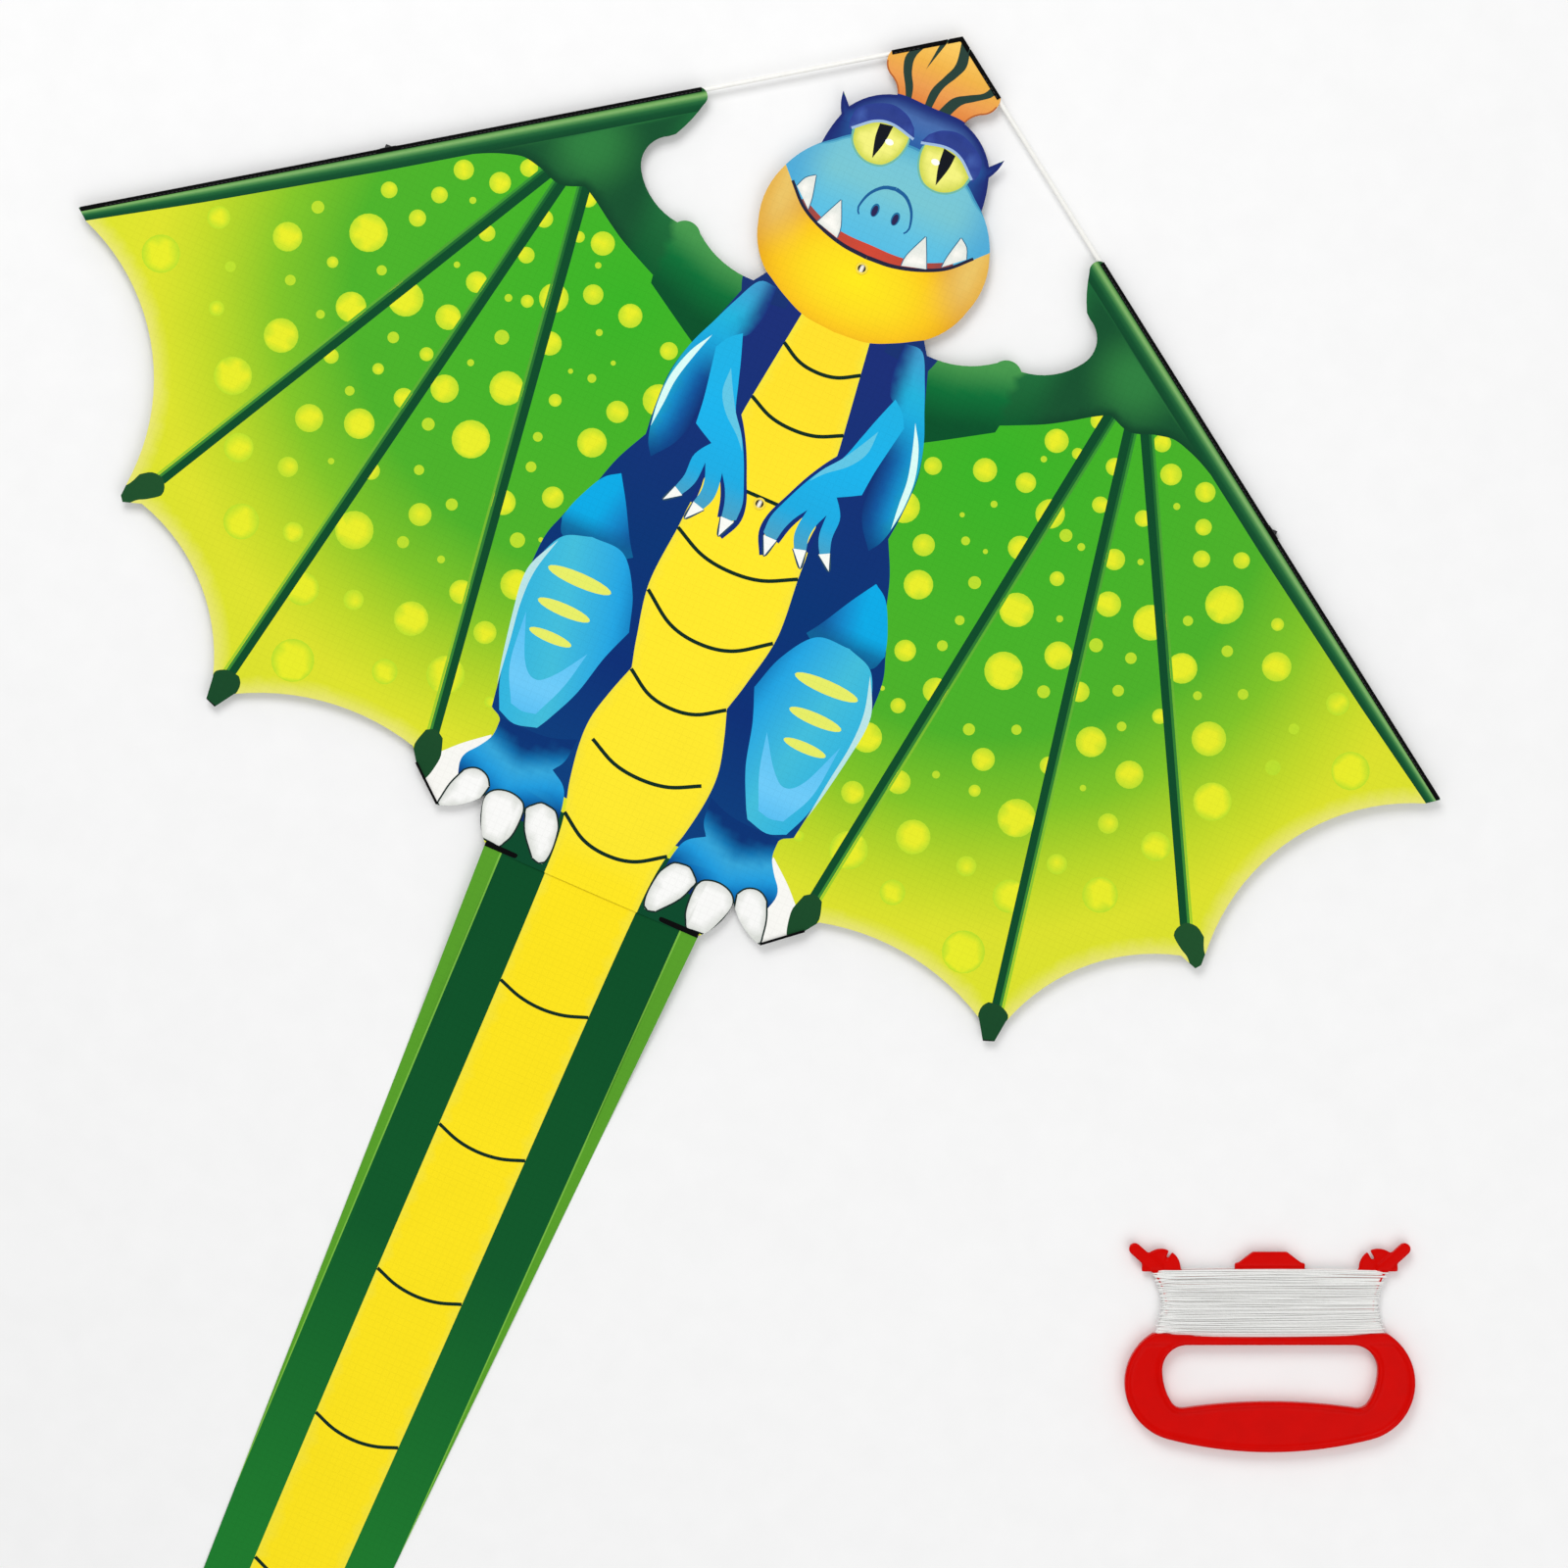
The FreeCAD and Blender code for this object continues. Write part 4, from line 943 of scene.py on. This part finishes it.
def make_cloth(name, edge, lift, material, holes=(), lines=(), spacing=7.0):
    """Thin closed cloth with the artwork printed on it; lift gives its height in millimetres."""
    low, high = edge.min(0) - 1, edge.max(0) + 1
    drawn = [s for s in artwork if (s[0].max(0) > low).all() and (s[0].min(0) < high).all()]
    edge = split_long(edge, spacing)
    flat, triangles = triangulate(edge, [s[0] for s in drawn] + list(holes), lines, spacing)
    middle = flat[triangles].mean(1)
    for hole in holes:
        triangles = triangles[~inside(middle, hole)]
        middle = flat[triangles].mean(1)
    colours = paint_corners(flat, triangles, drawn)
    count = len(flat)
    height = lift(flat)
    top = np.column_stack([flat, height + CLOTH_THICK / 2])
    back = np.column_stack([flat, height - CLOTH_THICK / 2])
    follow = {}
    for number, (a, b, c) in enumerate(triangles):
        for corner, pair in enumerate(((a, b), (b, c), (c, a))):
            follow[pair] = 3 * number + corner
    rim = [(pair, place) for pair, place in follow.items() if pair[::-1] not in follow]
    walls = [(a, a + count, b + count, b) for (a, b), place in rim]
    faces = triangles.tolist() + (triangles[:, ::-1] + count).tolist() + walls
    made = mesh_object(name, np.vstack([top, back]) * MM, faces, material)
    shown_through = mix(colours, linear("e8e8e0"), np.full(len(colours), SHOWN_THROUGH))
    behind = shown_through.reshape(-1, 3, 3)[:, ::-1].reshape(-1, 3)
    sides = np.repeat(colours[[place for pair, place in rim]], 4, axis=0)
    ink = np.column_stack([np.vstack([colours, behind, sides]), np.ones(6 * len(triangles) + 4 * len(rim))])
    made.data.set_sharp_from_angle(angle=math.radians(60))
    made.data.color_attributes.new("Print", "FLOAT_COLOR", "CORNER").data.foreach_set("color", ink.ravel())
    place = np.column_stack([np.vstack([flat, flat]) * MM, np.zeros(2 * count)])
    made.data.attributes.new("Flat", "FLOAT_VECTOR", "POINT").data.foreach_set("vector", place.ravel())
    area = abs(np.cross(flat[triangles[:, 1]] - flat[triangles[:, 0]],
                        flat[triangles[:, 2]] - flat[triangles[:, 0]])).sum() / 2 * MM * MM
    return made, area


def ruffle(flat, size, seed):
    """Smooth uneven height from -1 to 1 with features of about that size in millimetres."""
    return np.array([noise.noise(Vector((x / size, y / size, seed))) for x, y in flat])


EDGE_COSINE = 0.82               # turns a height below the leading edge into a distance from it


def sail_height(flat):
    """The sail is tight along its sewn edges and the spine, sags a little between them and ripples."""
    x = abs(flat[:, 0])
    from_edge = (LEADING_START[1] - flat[:, 1] - x * LEADING_START[1] / WING_TIP[0]) * EDGE_COSINE
    free = fade(x, 11, 120) * fade(from_edge, 14, 110)
    slack = np.clip(from_edge / 330, 0, 1)
    ripples = ruffle(flat, 70, 3.1) * 0.9 + ruffle(flat, 26, 7.7) * 0.25
    return free * (ripples - 2.2 * slack)


FOLD_X = (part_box("sail_right")[0].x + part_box("sail_centre")[1].x) / 2 / MM
EYELET_YS = (0, 190)
EYELETS = [oval(0, y, 7.0, count=28) for y in EYELET_YS]


def make_sail():
    """Two mirrored halves of the printed sail that meet on the spine, with extra mesh lines along the fold
    line beside it.
    """
    foot_y = OUTLINE[:, 1][OUTLINE[:, 0] < FOLD_X + 1].min()
    beyond = OUTLINE[OUTLINE[:, 0] > FOLD_X + 1]
    start = int(np.argmax(np.linalg.norm(beyond - np.roll(beyond, 1, 0), axis=1)
                          * (np.roll(beyond, 1, 0)[:, 0] < 45)))
    ordered = np.roll(beyond, -start, 0)
    for name, side in SIDES:
        edge = np.vstack([ordered, [(0, foot_y)], [LEADING_START]])
        if np.linalg.norm(ordered[0] - LEADING_START) > np.linalg.norm(ordered[-1] - LEADING_START):
            edge = np.vstack([ordered, [LEADING_START], [(0, foot_y)]])
        edge = edge * (side, 1)
        folds = [split_long(np.array([(side * x, foot_y + 0.2), (side * x, LEADING_START[1] - 14)]), 6)
                 for x in (FOLD_X - 1.5, FOLD_X, FOLD_X + 1.5)]
        folds = [line[:len(line) // 2] for line in folds]
        sail, area = make_cloth("sail_%s_cloth" % name, edge, sail_height, CLOTH, EYELETS, folds)
        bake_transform(sail)
        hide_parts("sail_" + name, "sail_centre")


TAIL_FOLDS = [-y / MM for y in (0.315, 0.664897, 1.014897, 1.364897)]
HEM_DEPTH = 1.25                 # of the tail below the sail where the hem holds it
DROP_LENGTH = 175                # of tail between the hem and where it lies on the floor


def tail_height(flat):
    """The tail drops from the hem to the floor and lies there with low ripples."""
    below = TAIL_TOP - flat[:, 1]
    lie = TAIL_FLOOR + 0.45 * (1 + ruffle(flat, 90, 12.3)) * fade(below, DROP_LENGTH, 330)
    return -HEM_DEPTH + (lie + HEM_DEPTH) * fade(below, 4, DROP_LENGTH)


def make_tail():
    """Four lengths of one printed tail, each with extra mesh lines at its own fold line."""
    cuts = [TAIL_HEM_Y] + [(a + b) / 2 for a, b in zip(TAIL_FOLDS, TAIL_FOLDS[1:])]
    for number, fold in enumerate(TAIL_FOLDS):
        first = cuts[number]
        if number < 3:
            last = cuts[number + 1]
            low = [(-tail_half(last), last), (tail_half(last), last)]
        else:
            round_y = TAIL_END + tail_half(TAIL_END)
            low = arc((0, round_y), tail_half(round_y), 180, 360, 40)
            last = TAIL_END
        edge = np.vstack([low, [(tail_half(first), first), (-tail_half(first), first)]])
        reach = 3 if number == 0 else 6
        folds = [split_long(np.array([(-90, fold + d), (90, fold + d)]), 6) for d in (-reach, 0, reach)]
        folds = [f[:len(f) // 2] for f in folds]
        folds = [f[inside(f, edge)] for f in folds]
        tail, area = make_cloth("tail_cloth_%d" % (number + 1), edge, tail_height, TAIL_CLOTH,
                                lines=folds, spacing=9.0)
        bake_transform(tail)
        replaced = ["tail_panel_%d" % panel for panel in (number, number + 1) if panel > 0]
        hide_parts(*replaced)
        2 * tail_half(first) * MM


# ---------------------------------------------------------------- sewn pieces

ROD_LOW, ROD_HIGH = box_mm("spine_rod")
ROD_Z = (ROD_LOW.z + ROD_HIGH.z) / 2
ROD_IN = 1.85                    # leading-edge rod's axis, inward from the cut edge
SLEEVE_IN = 1.9
SLEEVE_OUT = 2.25
TAPE_TOP = -0.35
TAPE_LOW = -0.55
BINDING_TOP = 0.5
TAPE_HALF = 8                    # half width of the tapes behind the spine
POCKET_Z = -3.2
CORNER_OUTER = 156.9             # ends of the bound corners, across the sail
CORNER_INNER = 130.4
FRONT_ROW = 2.1                  # rows of stitches on a sleeve, inward from the cut edge
BACK_ROW = 7.3
EYELET_WINDOW = 6.5              # half the height of the openings in the spine's sleeve
SADDLE_WINDOW = 8.0


def arc(centre, radius, start, end, count=10):
    """Points on an arc between two angles in degrees."""
    turn = np.radians(np.linspace(start, end, count))
    return np.stack([centre[0] + radius * np.cos(turn), centre[1] + radius * np.sin(turn)], 1)


def sweep(profiles, places):
    """Vertices and faces of a closed solid: one profile of (sideways, up) at each place.

    A place is (origin, sideways, up): vectors in millimetres.
    """
    count = len(profiles[0])
    vertices, faces = [], []
    for profile, (origin, sideways, up) in zip(profiles, places):
        vertices += [origin + sideways * a + up * b for a, b in profile]
    for ring in range(len(places) - 1):
        for i in range(count):
            j = (i + 1) % count
            a, b = ring * count, (ring + 1) * count
            faces.append((a + i, a + j, b + j, b + i))
    last = (len(places) - 1) * count
    caps = geometry.tessellate_polygon([[Vector((a, b, 0)) for a, b in profiles[0]]])
    faces += [(c, b, a) for a, b, c in caps]
    faces += [(last + a, last + b, last + c) for a, b, c in caps]
    return np.array(vertices), faces


def joined(name, parts, material, body, nodes=()):
    """One piece of several swept or stitched parts, riding on a body."""
    vertices, faces = [], []
    for points, polygons in parts:
        start = sum(len(v) for v in vertices)
        vertices.append(points)
        faces += [tuple(i + start for i in f) for f in polygons]
    made = mesh_object(name, np.vstack(vertices) * MM, faces, material)
    made.data.validate()
    made.data.set_sharp_from_angle(angle=math.radians(40))
    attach(made, body)
    if nodes:
        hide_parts(*nodes)
    return made


def pucker(profile, along, amount, seed):
    """A profile whose fabric is drawn in and out a little by its stitches."""
    moved = np.array(profile)
    shift = noise.noise(Vector((along * 0.11, seed, 0.3))) * amount
    moved[:, 0] += shift * (moved[:, 0] > SLEEVE_IN + ROD_IN)
    moved[:, 1] += shift * 0.25 * (moved[:, 1] > 0)
    moved[:, 1] -= abs(shift) * 0.5 * (moved[:, 1] < ROD_Z)
    return moved


def binding_profile():
    """Section of the leading edge's sleeve: over the cut edge, round the rod, back to the sail."""
    inner_edge, flap, tape = -0.4, 3.0, 9.0
    far = ROD_IN + SLEEVE_IN
    far_out = ROD_IN + SLEEVE_OUT
    centre = (ROD_IN, ROD_Z)
    return np.vstack([
        [(flap, BINDING_TOP), (0.2, BINDING_TOP), (inner_edge + 0.1, BINDING_TOP - 0.15),
         (inner_edge, BINDING_TOP - 0.5)],
        arc(centre, SLEEVE_OUT, 180, 360),
        [(far_out, TAPE_LOW), (tape, TAPE_LOW), (tape, TAPE_TOP), (far, TAPE_TOP)],
        arc(centre, SLEEVE_IN, 360, 180), [(-0.05, 0.3), (flap, 0.3)]])


def stitch(at, way, up, length=2.3, radius=0.21):
    """One thread stitch: a small six-sided spindle half sunk in the cloth."""
    side = np.cross(up, way)
    rings = ((-0.5, 0.45), (-0.32, 1.0), (0.32, 1.0), (0.5, 0.45))
    vertices = [at + way * length * s + (side * math.cos(a) + up * math.sin(a)) * radius * r
                for s, r in rings for a in np.linspace(0, 2 * math.pi, 6, endpoint=False)]
    faces = [(6 * k + i, 6 * k + (i + 1) % 6, 6 * k + 6 + (i + 1) % 6, 6 * k + 6 + i)
             for k in range(3) for i in range(6)]
    faces += [(5, 4, 3, 2, 1, 0), (18, 19, 20, 21, 22, 23)]
    return np.array(vertices), faces


def seam(start, end, up=(0, 0, 1), pitch=3.1):
    """Row of stitches between two points in millimetres."""
    start, end, up = (np.array(v, float) for v in (start, end, up))
    length = np.linalg.norm(end - start)
    way = (end - start) / length
    count = max(1, int(length / pitch))
    gap = length / count
    return [stitch(start + way * gap * (i + 0.5), way, up) for i in range(count)]


def flat3(point, z):
    """Point in millimetres from a place on the sail and a height."""
    return np.array([point[0], point[1], z])


def swept_edge(first, last, side, seed):
    """Sleeve along the leading edge between two distances from the nose."""
    alongs = np.linspace(first, last, max(2, int((last - first) / 5)))
    mirror = np.array([side, 1, 1])
    profile = binding_profile()
    places = [(flat3(leading(t, 0), 0) * mirror, flat3(LEADING_IN, 0) * mirror, UP)
              for t in alongs]
    profiles = [pucker(profile, t, 0.5, seed) for t in alongs]
    vertices, faces = sweep(profiles, places)
    return vertices, faces if side < 0 else [f[::-1] for f in faces]


def reach_along(node):
    """Distances from the nose, along the right leading edge, at which a CAD piece starts and ends."""
    reach = [(np.array(v.co[:2]) / MM - LEADING_START) @ LEADING_WAY
             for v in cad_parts[node].data.vertices]
    return min(reach), max(reach)


def make_edge_sleeves():
    """Bindings of the crest and sleeves of the wings, with their seams."""
    for name, side in SIDES:
        mirror = np.array([side, 1, 1])
        for stem, seed in (("crest_binding", 1.5), ("wing_sleeve_inner", 4.5), ("wing_sleeve_outer", 8.5)):
            first, last = reach_along(stem + "_right")
            joined("%s_cloth_%s" % (stem, name), [swept_edge(first, last, side, seed)], BINDING,
                   "wing_" + name, [stem + "_" + name])
            rows = []
            for inward_by, z, up in ((FRONT_ROW, BINDING_TOP, 1), (BACK_ROW, TAPE_LOW, -1)):
                ends = [flat3(leading(t, inward_by), z) * mirror for t in (first + 1, last - 1)]
                rows += seam(*ends, up=(0, 0, up))
            joined("%s_seams_%s" % (stem, name), rows, THREAD, "wing_" + name)


def make_edge_flaps():
    """Binding folded over the cut edge where there is no sleeve: nose, crest, window and wing tip.

    Ends at the centre line and at a fold line are mitred along it, so that they part when a wing folds.
    """
    section = [(3.0, BINDING_TOP), (-0.3, BINDING_TOP), (-0.4, BINDING_TOP - 0.1), (-0.4, -0.25),
               (-0.05, -0.25), (-0.05, 0.3), (3.0, 0.3)]
    fold = FOLD_X / LEADING_WAY[0]
    tip = np.linalg.norm(WING_TIP - LEADING_START)
    crest = reach_along("crest_binding_right")
    inner = reach_along("wing_sleeve_inner_right")
    outer = reach_along("wing_sleeve_outer_right")
    swing = 1.5 * BINDING_TOP / LEADING_WAY[0]    # more than the folded wing's binding swings inwards
    spans = (("nose_binding_", "spine", 0.0, fold - swing, 1, 1),
             ("crest_binding_top_", "wing_", fold + 0.3, crest[0], 1, 0),
             ("window_binding_", "wing_", inner[1], outer[0], 0, 0),
             ("tip_binding_", "wing_", outer[1], tip - 1.0, 0, 0))
    mitre = LEADING_WAY * (-LEADING_IN[0] / LEADING_WAY[0])
    for name, side in SIDES:
        mirror = np.array([side, 1, 1])
        for stem, body, first, last, first_mitred, last_mitred in spans:
            places = []
            for share in np.linspace(0, 1, 5):
                at = leading(first + (last - first) * share, 0)
                inward_way = LEADING_IN + mitre * (first_mitred * (1 - share) + last_mitred * share)
                places.append((flat3(at, 0) * mirror, flat3(inward_way, 0) * mirror, UP))
            vertices, faces = sweep([section] * 5, places)
            faces = faces if side < 0 else [f[::-1] for f in faces]
            joined(stem + name, [(vertices, faces)], BINDING, body + name if body == "wing_" else body)


def along_y(y):
    """Place for a profile across the spine."""
    return np.array([0, y, 0.0]), np.array([1.0, 0, 0]), UP


def strip(left, right, first, last):
    """Flat tape behind the spine between two heights."""
    profile = [(left, TAPE_TOP), (right, TAPE_TOP), (right, TAPE_LOW), (left, TAPE_LOW)]
    return sweep([profile, profile], [along_y(last), along_y(first)])


def make_spine_sleeve():
    """Tape along the spine with its tunnel, open at the eyelets and at the saddle."""
    low, high = (corner.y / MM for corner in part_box("spine_sleeve"))
    saddle_y = sum(corner.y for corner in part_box("spreader_saddle")) / 2 / MM
    windows = [(y - half, y + half)
               for y, half in ((EYELET_YS[0], EYELET_WINDOW), (saddle_y, SADDLE_WINDOW),
                               (EYELET_YS[1], EYELET_WINDOW))]
    section = np.vstack([
        [(TAPE_HALF, TAPE_TOP), (SLEEVE_IN, TAPE_TOP)], arc((0, ROD_Z), SLEEVE_IN, 0, -180),
        [(-SLEEVE_IN, TAPE_TOP), (-TAPE_HALF, TAPE_TOP), (-TAPE_HALF, TAPE_LOW), (-SLEEVE_OUT, TAPE_LOW)],
        arc((0, ROD_Z), SLEEVE_OUT, 180, 360), [(SLEEVE_OUT, TAPE_LOW), (TAPE_HALF, TAPE_LOW)]])
    parts = []
    starts = [low] + [w[1] for w in windows]
    ends = [w[0] for w in windows] + [high]
    for first, last in zip(starts, ends):
        ys = np.linspace(last, first, max(2, int((last - first) / 5)))
        profiles = [section - np.outer(section[:, 1] < ROD_Z - 1,
                                       (0, abs(noise.noise(Vector((y * 0.11, 2, 2)))) * 0.3)) for y in ys]
        parts.append(sweep(profiles, [along_y(y) for y in ys]))
    for first, last in windows:
        parts += [strip(4.8, TAPE_HALF, first, last), strip(-TAPE_HALF, -4.8, first, last)]
    joined("spine_sleeve_cloth", parts, TAPE, "spine", ["spine_sleeve"])
    rows = []
    for x in (-6.4, 6.4):
        rows += seam((x, low + 1, TAPE_LOW), (x, high - 1, TAPE_LOW), up=(0, 0, -1))
    joined("spine_seams", rows, PALE_THREAD, "spine")


def make_pocket(node, open_low):
    """Cloth pocket sewn behind one end of the spine: open at one end and sewn flat at the other."""
    low, high = box_mm(node)
    inner, outer, depth = 2.6, 3.05, 1.35
    section = np.vstack([
        [(TAPE_HALF, TAPE_TOP), (inner, TAPE_TOP)],
        arc((0, 0), 1, 0, -180) * (inner, depth) + (0, POCKET_Z),
        [(-inner, TAPE_TOP), (-TAPE_HALF, TAPE_TOP), (-TAPE_HALF, TAPE_LOW), (-outer, TAPE_LOW)],
        arc((0, 0), 1, 180, 360) * (outer, depth + 0.4) + (0, POCKET_Z),
        [(outer, TAPE_LOW), (TAPE_HALF, TAPE_LOW)]])
    ys = np.linspace(high.y, low.y, 15)
    profiles = []
    for y in ys:
        from_closed = high.y - y if open_low else y - low.y
        depth_share = 0.12 + 0.88 * fade(from_closed, -0.6, 1.2)
        shaped = section.copy()
        shaped[:, 1] = TAPE_LOW + np.where(shaped[:, 1] < TAPE_LOW, (shaped[:, 1] - TAPE_LOW) * depth_share,
                                           shaped[:, 1] - TAPE_LOW)
        profiles.append(shaped)
    joined(node + "_cloth", [sweep(profiles, [along_y(y) for y in ys])], BINDING, "spine", [node])
    closed_y = high.y - 1.2 if open_low else low.y + 1.2
    back = (0, 0, -1)
    rows = []
    for x in (-5.2, 5.2):
        rows += seam((x, low.y + 1, TAPE_LOW), (x, high.y - 1, TAPE_LOW), up=back)
    rows += seam((-7, closed_y, TAPE_LOW - 0.25), (7, closed_y, TAPE_LOW - 0.25), up=back)
    joined(node + "_seams", rows, THREAD, "spine")


def soft_strip(start, end, half, z_low, z_high):
    """Narrow folded tape with rounded edges between two points on the sail."""
    start, end = np.array(start, float), np.array(end, float)
    length = np.linalg.norm(end - start)
    way = (end - start) / length
    side = np.array([-way[1], way[0]])
    middle, thick = (z_low + z_high) / 2, (z_high - z_low) / 2
    section = oval(0, 0, 2, 2, count=16)
    section = np.sign(section) * abs(section) ** 0.45 * (half, thick)
    count = max(2, int(length / 4))
    places, profiles = [], []
    for i in range(count):
        share = i / (count - 1)
        wave = 1 + 0.06 * noise.noise(Vector((share * length * 0.2, half, 1)))
        places.append((flat3(start + way * length * share, middle), flat3(side, 0), UP))
        profiles.append(section * (wave, 1))
    return sweep(profiles, places)


def make_hems():
    """Hem and tapes that join the tail, and the bound corners beside the outer claws."""
    low, high = box_mm("tail_hem")
    y = (low.y + high.y) / 2
    joined("tail_hem_cloth", [soft_strip((low.x, y), (high.x, y), (high.y - low.y) / 2, low.z, high.z)],
           BINDING, "spine", ["tail_hem"])
    joined("hem_seam", seam((low.x + 2, y, low.z), (high.x - 2, y, low.z), up=(0, 0, -1)), PALE_THREAD,
           "spine")
    low, high = box_mm("tail_tapes")
    parts = [soft_strip((side * (high.x - 2), high.y), (side * (high.x - 2), low.y), 2, low.z, high.z)
             for name, side in SIDES]
    joined("tail_tapes_cloth", parts, TAPE, "spine", ["tail_tapes"])
    for name, side in SIDES:
        low, high = box_mm("corner_hem_" + name)
        outer = (side * CORNER_OUTER, high.y - 0.9)
        inner = (side * CORNER_INNER, low.y + 1.2)
        joined("corner_hem_cloth_" + name, [soft_strip(outer, inner, 0.95, low.z, high.z)], BINDING,
               "wing_" + name, ["corner_hem_" + name])


# ---------------------------------------------------------------- winder and carried-over parts

def make_winder():
    """The winder's moulding with its rims rounded off."""
    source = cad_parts["winder"]
    copy = bpy.data.objects.new("winder_moulding", source.data.copy())
    bpy.context.collection.objects.link(copy)
    remesh = copy.modifiers.new("remesh", "REMESH")
    remesh.mode = "VOXEL"
    remesh.voxel_size = 0.9 * MM
    smooth = copy.modifiers.new("smooth", "SMOOTH")
    smooth.factor = 0.5
    smooth.iterations = 5
    bpy.context.view_layer.update()
    mesh = bpy.data.meshes.new_from_object(copy.evaluated_get(bpy.context.evaluated_depsgraph_get()))
    copy.modifiers.clear()
    copy.data = mesh
    mesh.materials.clear()
    mesh.materials.append(RED)
    mesh.shade_smooth()
    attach(copy, "winder")
    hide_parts("winder")


def dress_parts():
    """Materials of the CAD pieces that are shown as they are."""
    kept = {"rod": ROD, "caps": VINYL, "connector": FITTING, "saddle": FITTING, "eyelets": EYELET}
    for node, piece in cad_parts.items():
        for word, material in kept.items():
            if word in node:
                piece.data.materials.clear()
                piece.data.materials.append(material)


FLOOR_GAP = 0.0001


def make_floor():
    """Pale floor under everything."""
    z = CAD_BOX[0][2] - FLOOR_GAP
    reach = 6
    corners = [(x * reach, y * reach, z) for x, y in ((-1, -1), (1, -1), (1, 1), (-1, 1))]
    floor = mesh_object("floor", corners, [(0, 1, 2, 3)], PAPER)


TAIL_FLOOR = CAD_BOX[0][2] / MM + CLOTH_THICK / 2 + 0.1
PAPER = solid("paper", "f4f4f4", 40.0, 0.01, 0.0003, (0.8, 0.1), Specular_IOR_Level=0.1)

draw_membrane()
draw_spots()
draw_bones()
draw_wing_arm()
draw_body()
draw_leg()
draw_arm()
draw_crest()
draw_head()
make_sail()
artwork.clear()
draw_tail()
make_tail()
make_edge_sleeves()
make_edge_flaps()
make_spine_sleeve()
make_pocket("nose_pocket", True)
make_pocket("spine_foot_pocket", False)
make_hems()
make_winder()
dress_parts()
make_floor()
make_camera()
bpy.context.scene.view_settings.view_transform = "Standard"
make_world(strength=0.6)
make_light("key", (-1.2, 1.4, 2.6), size=1.6, power=42)
make_light("fill", (1.6, -1.2, 2.4), size=2.2, power=21)
make_flying_line()
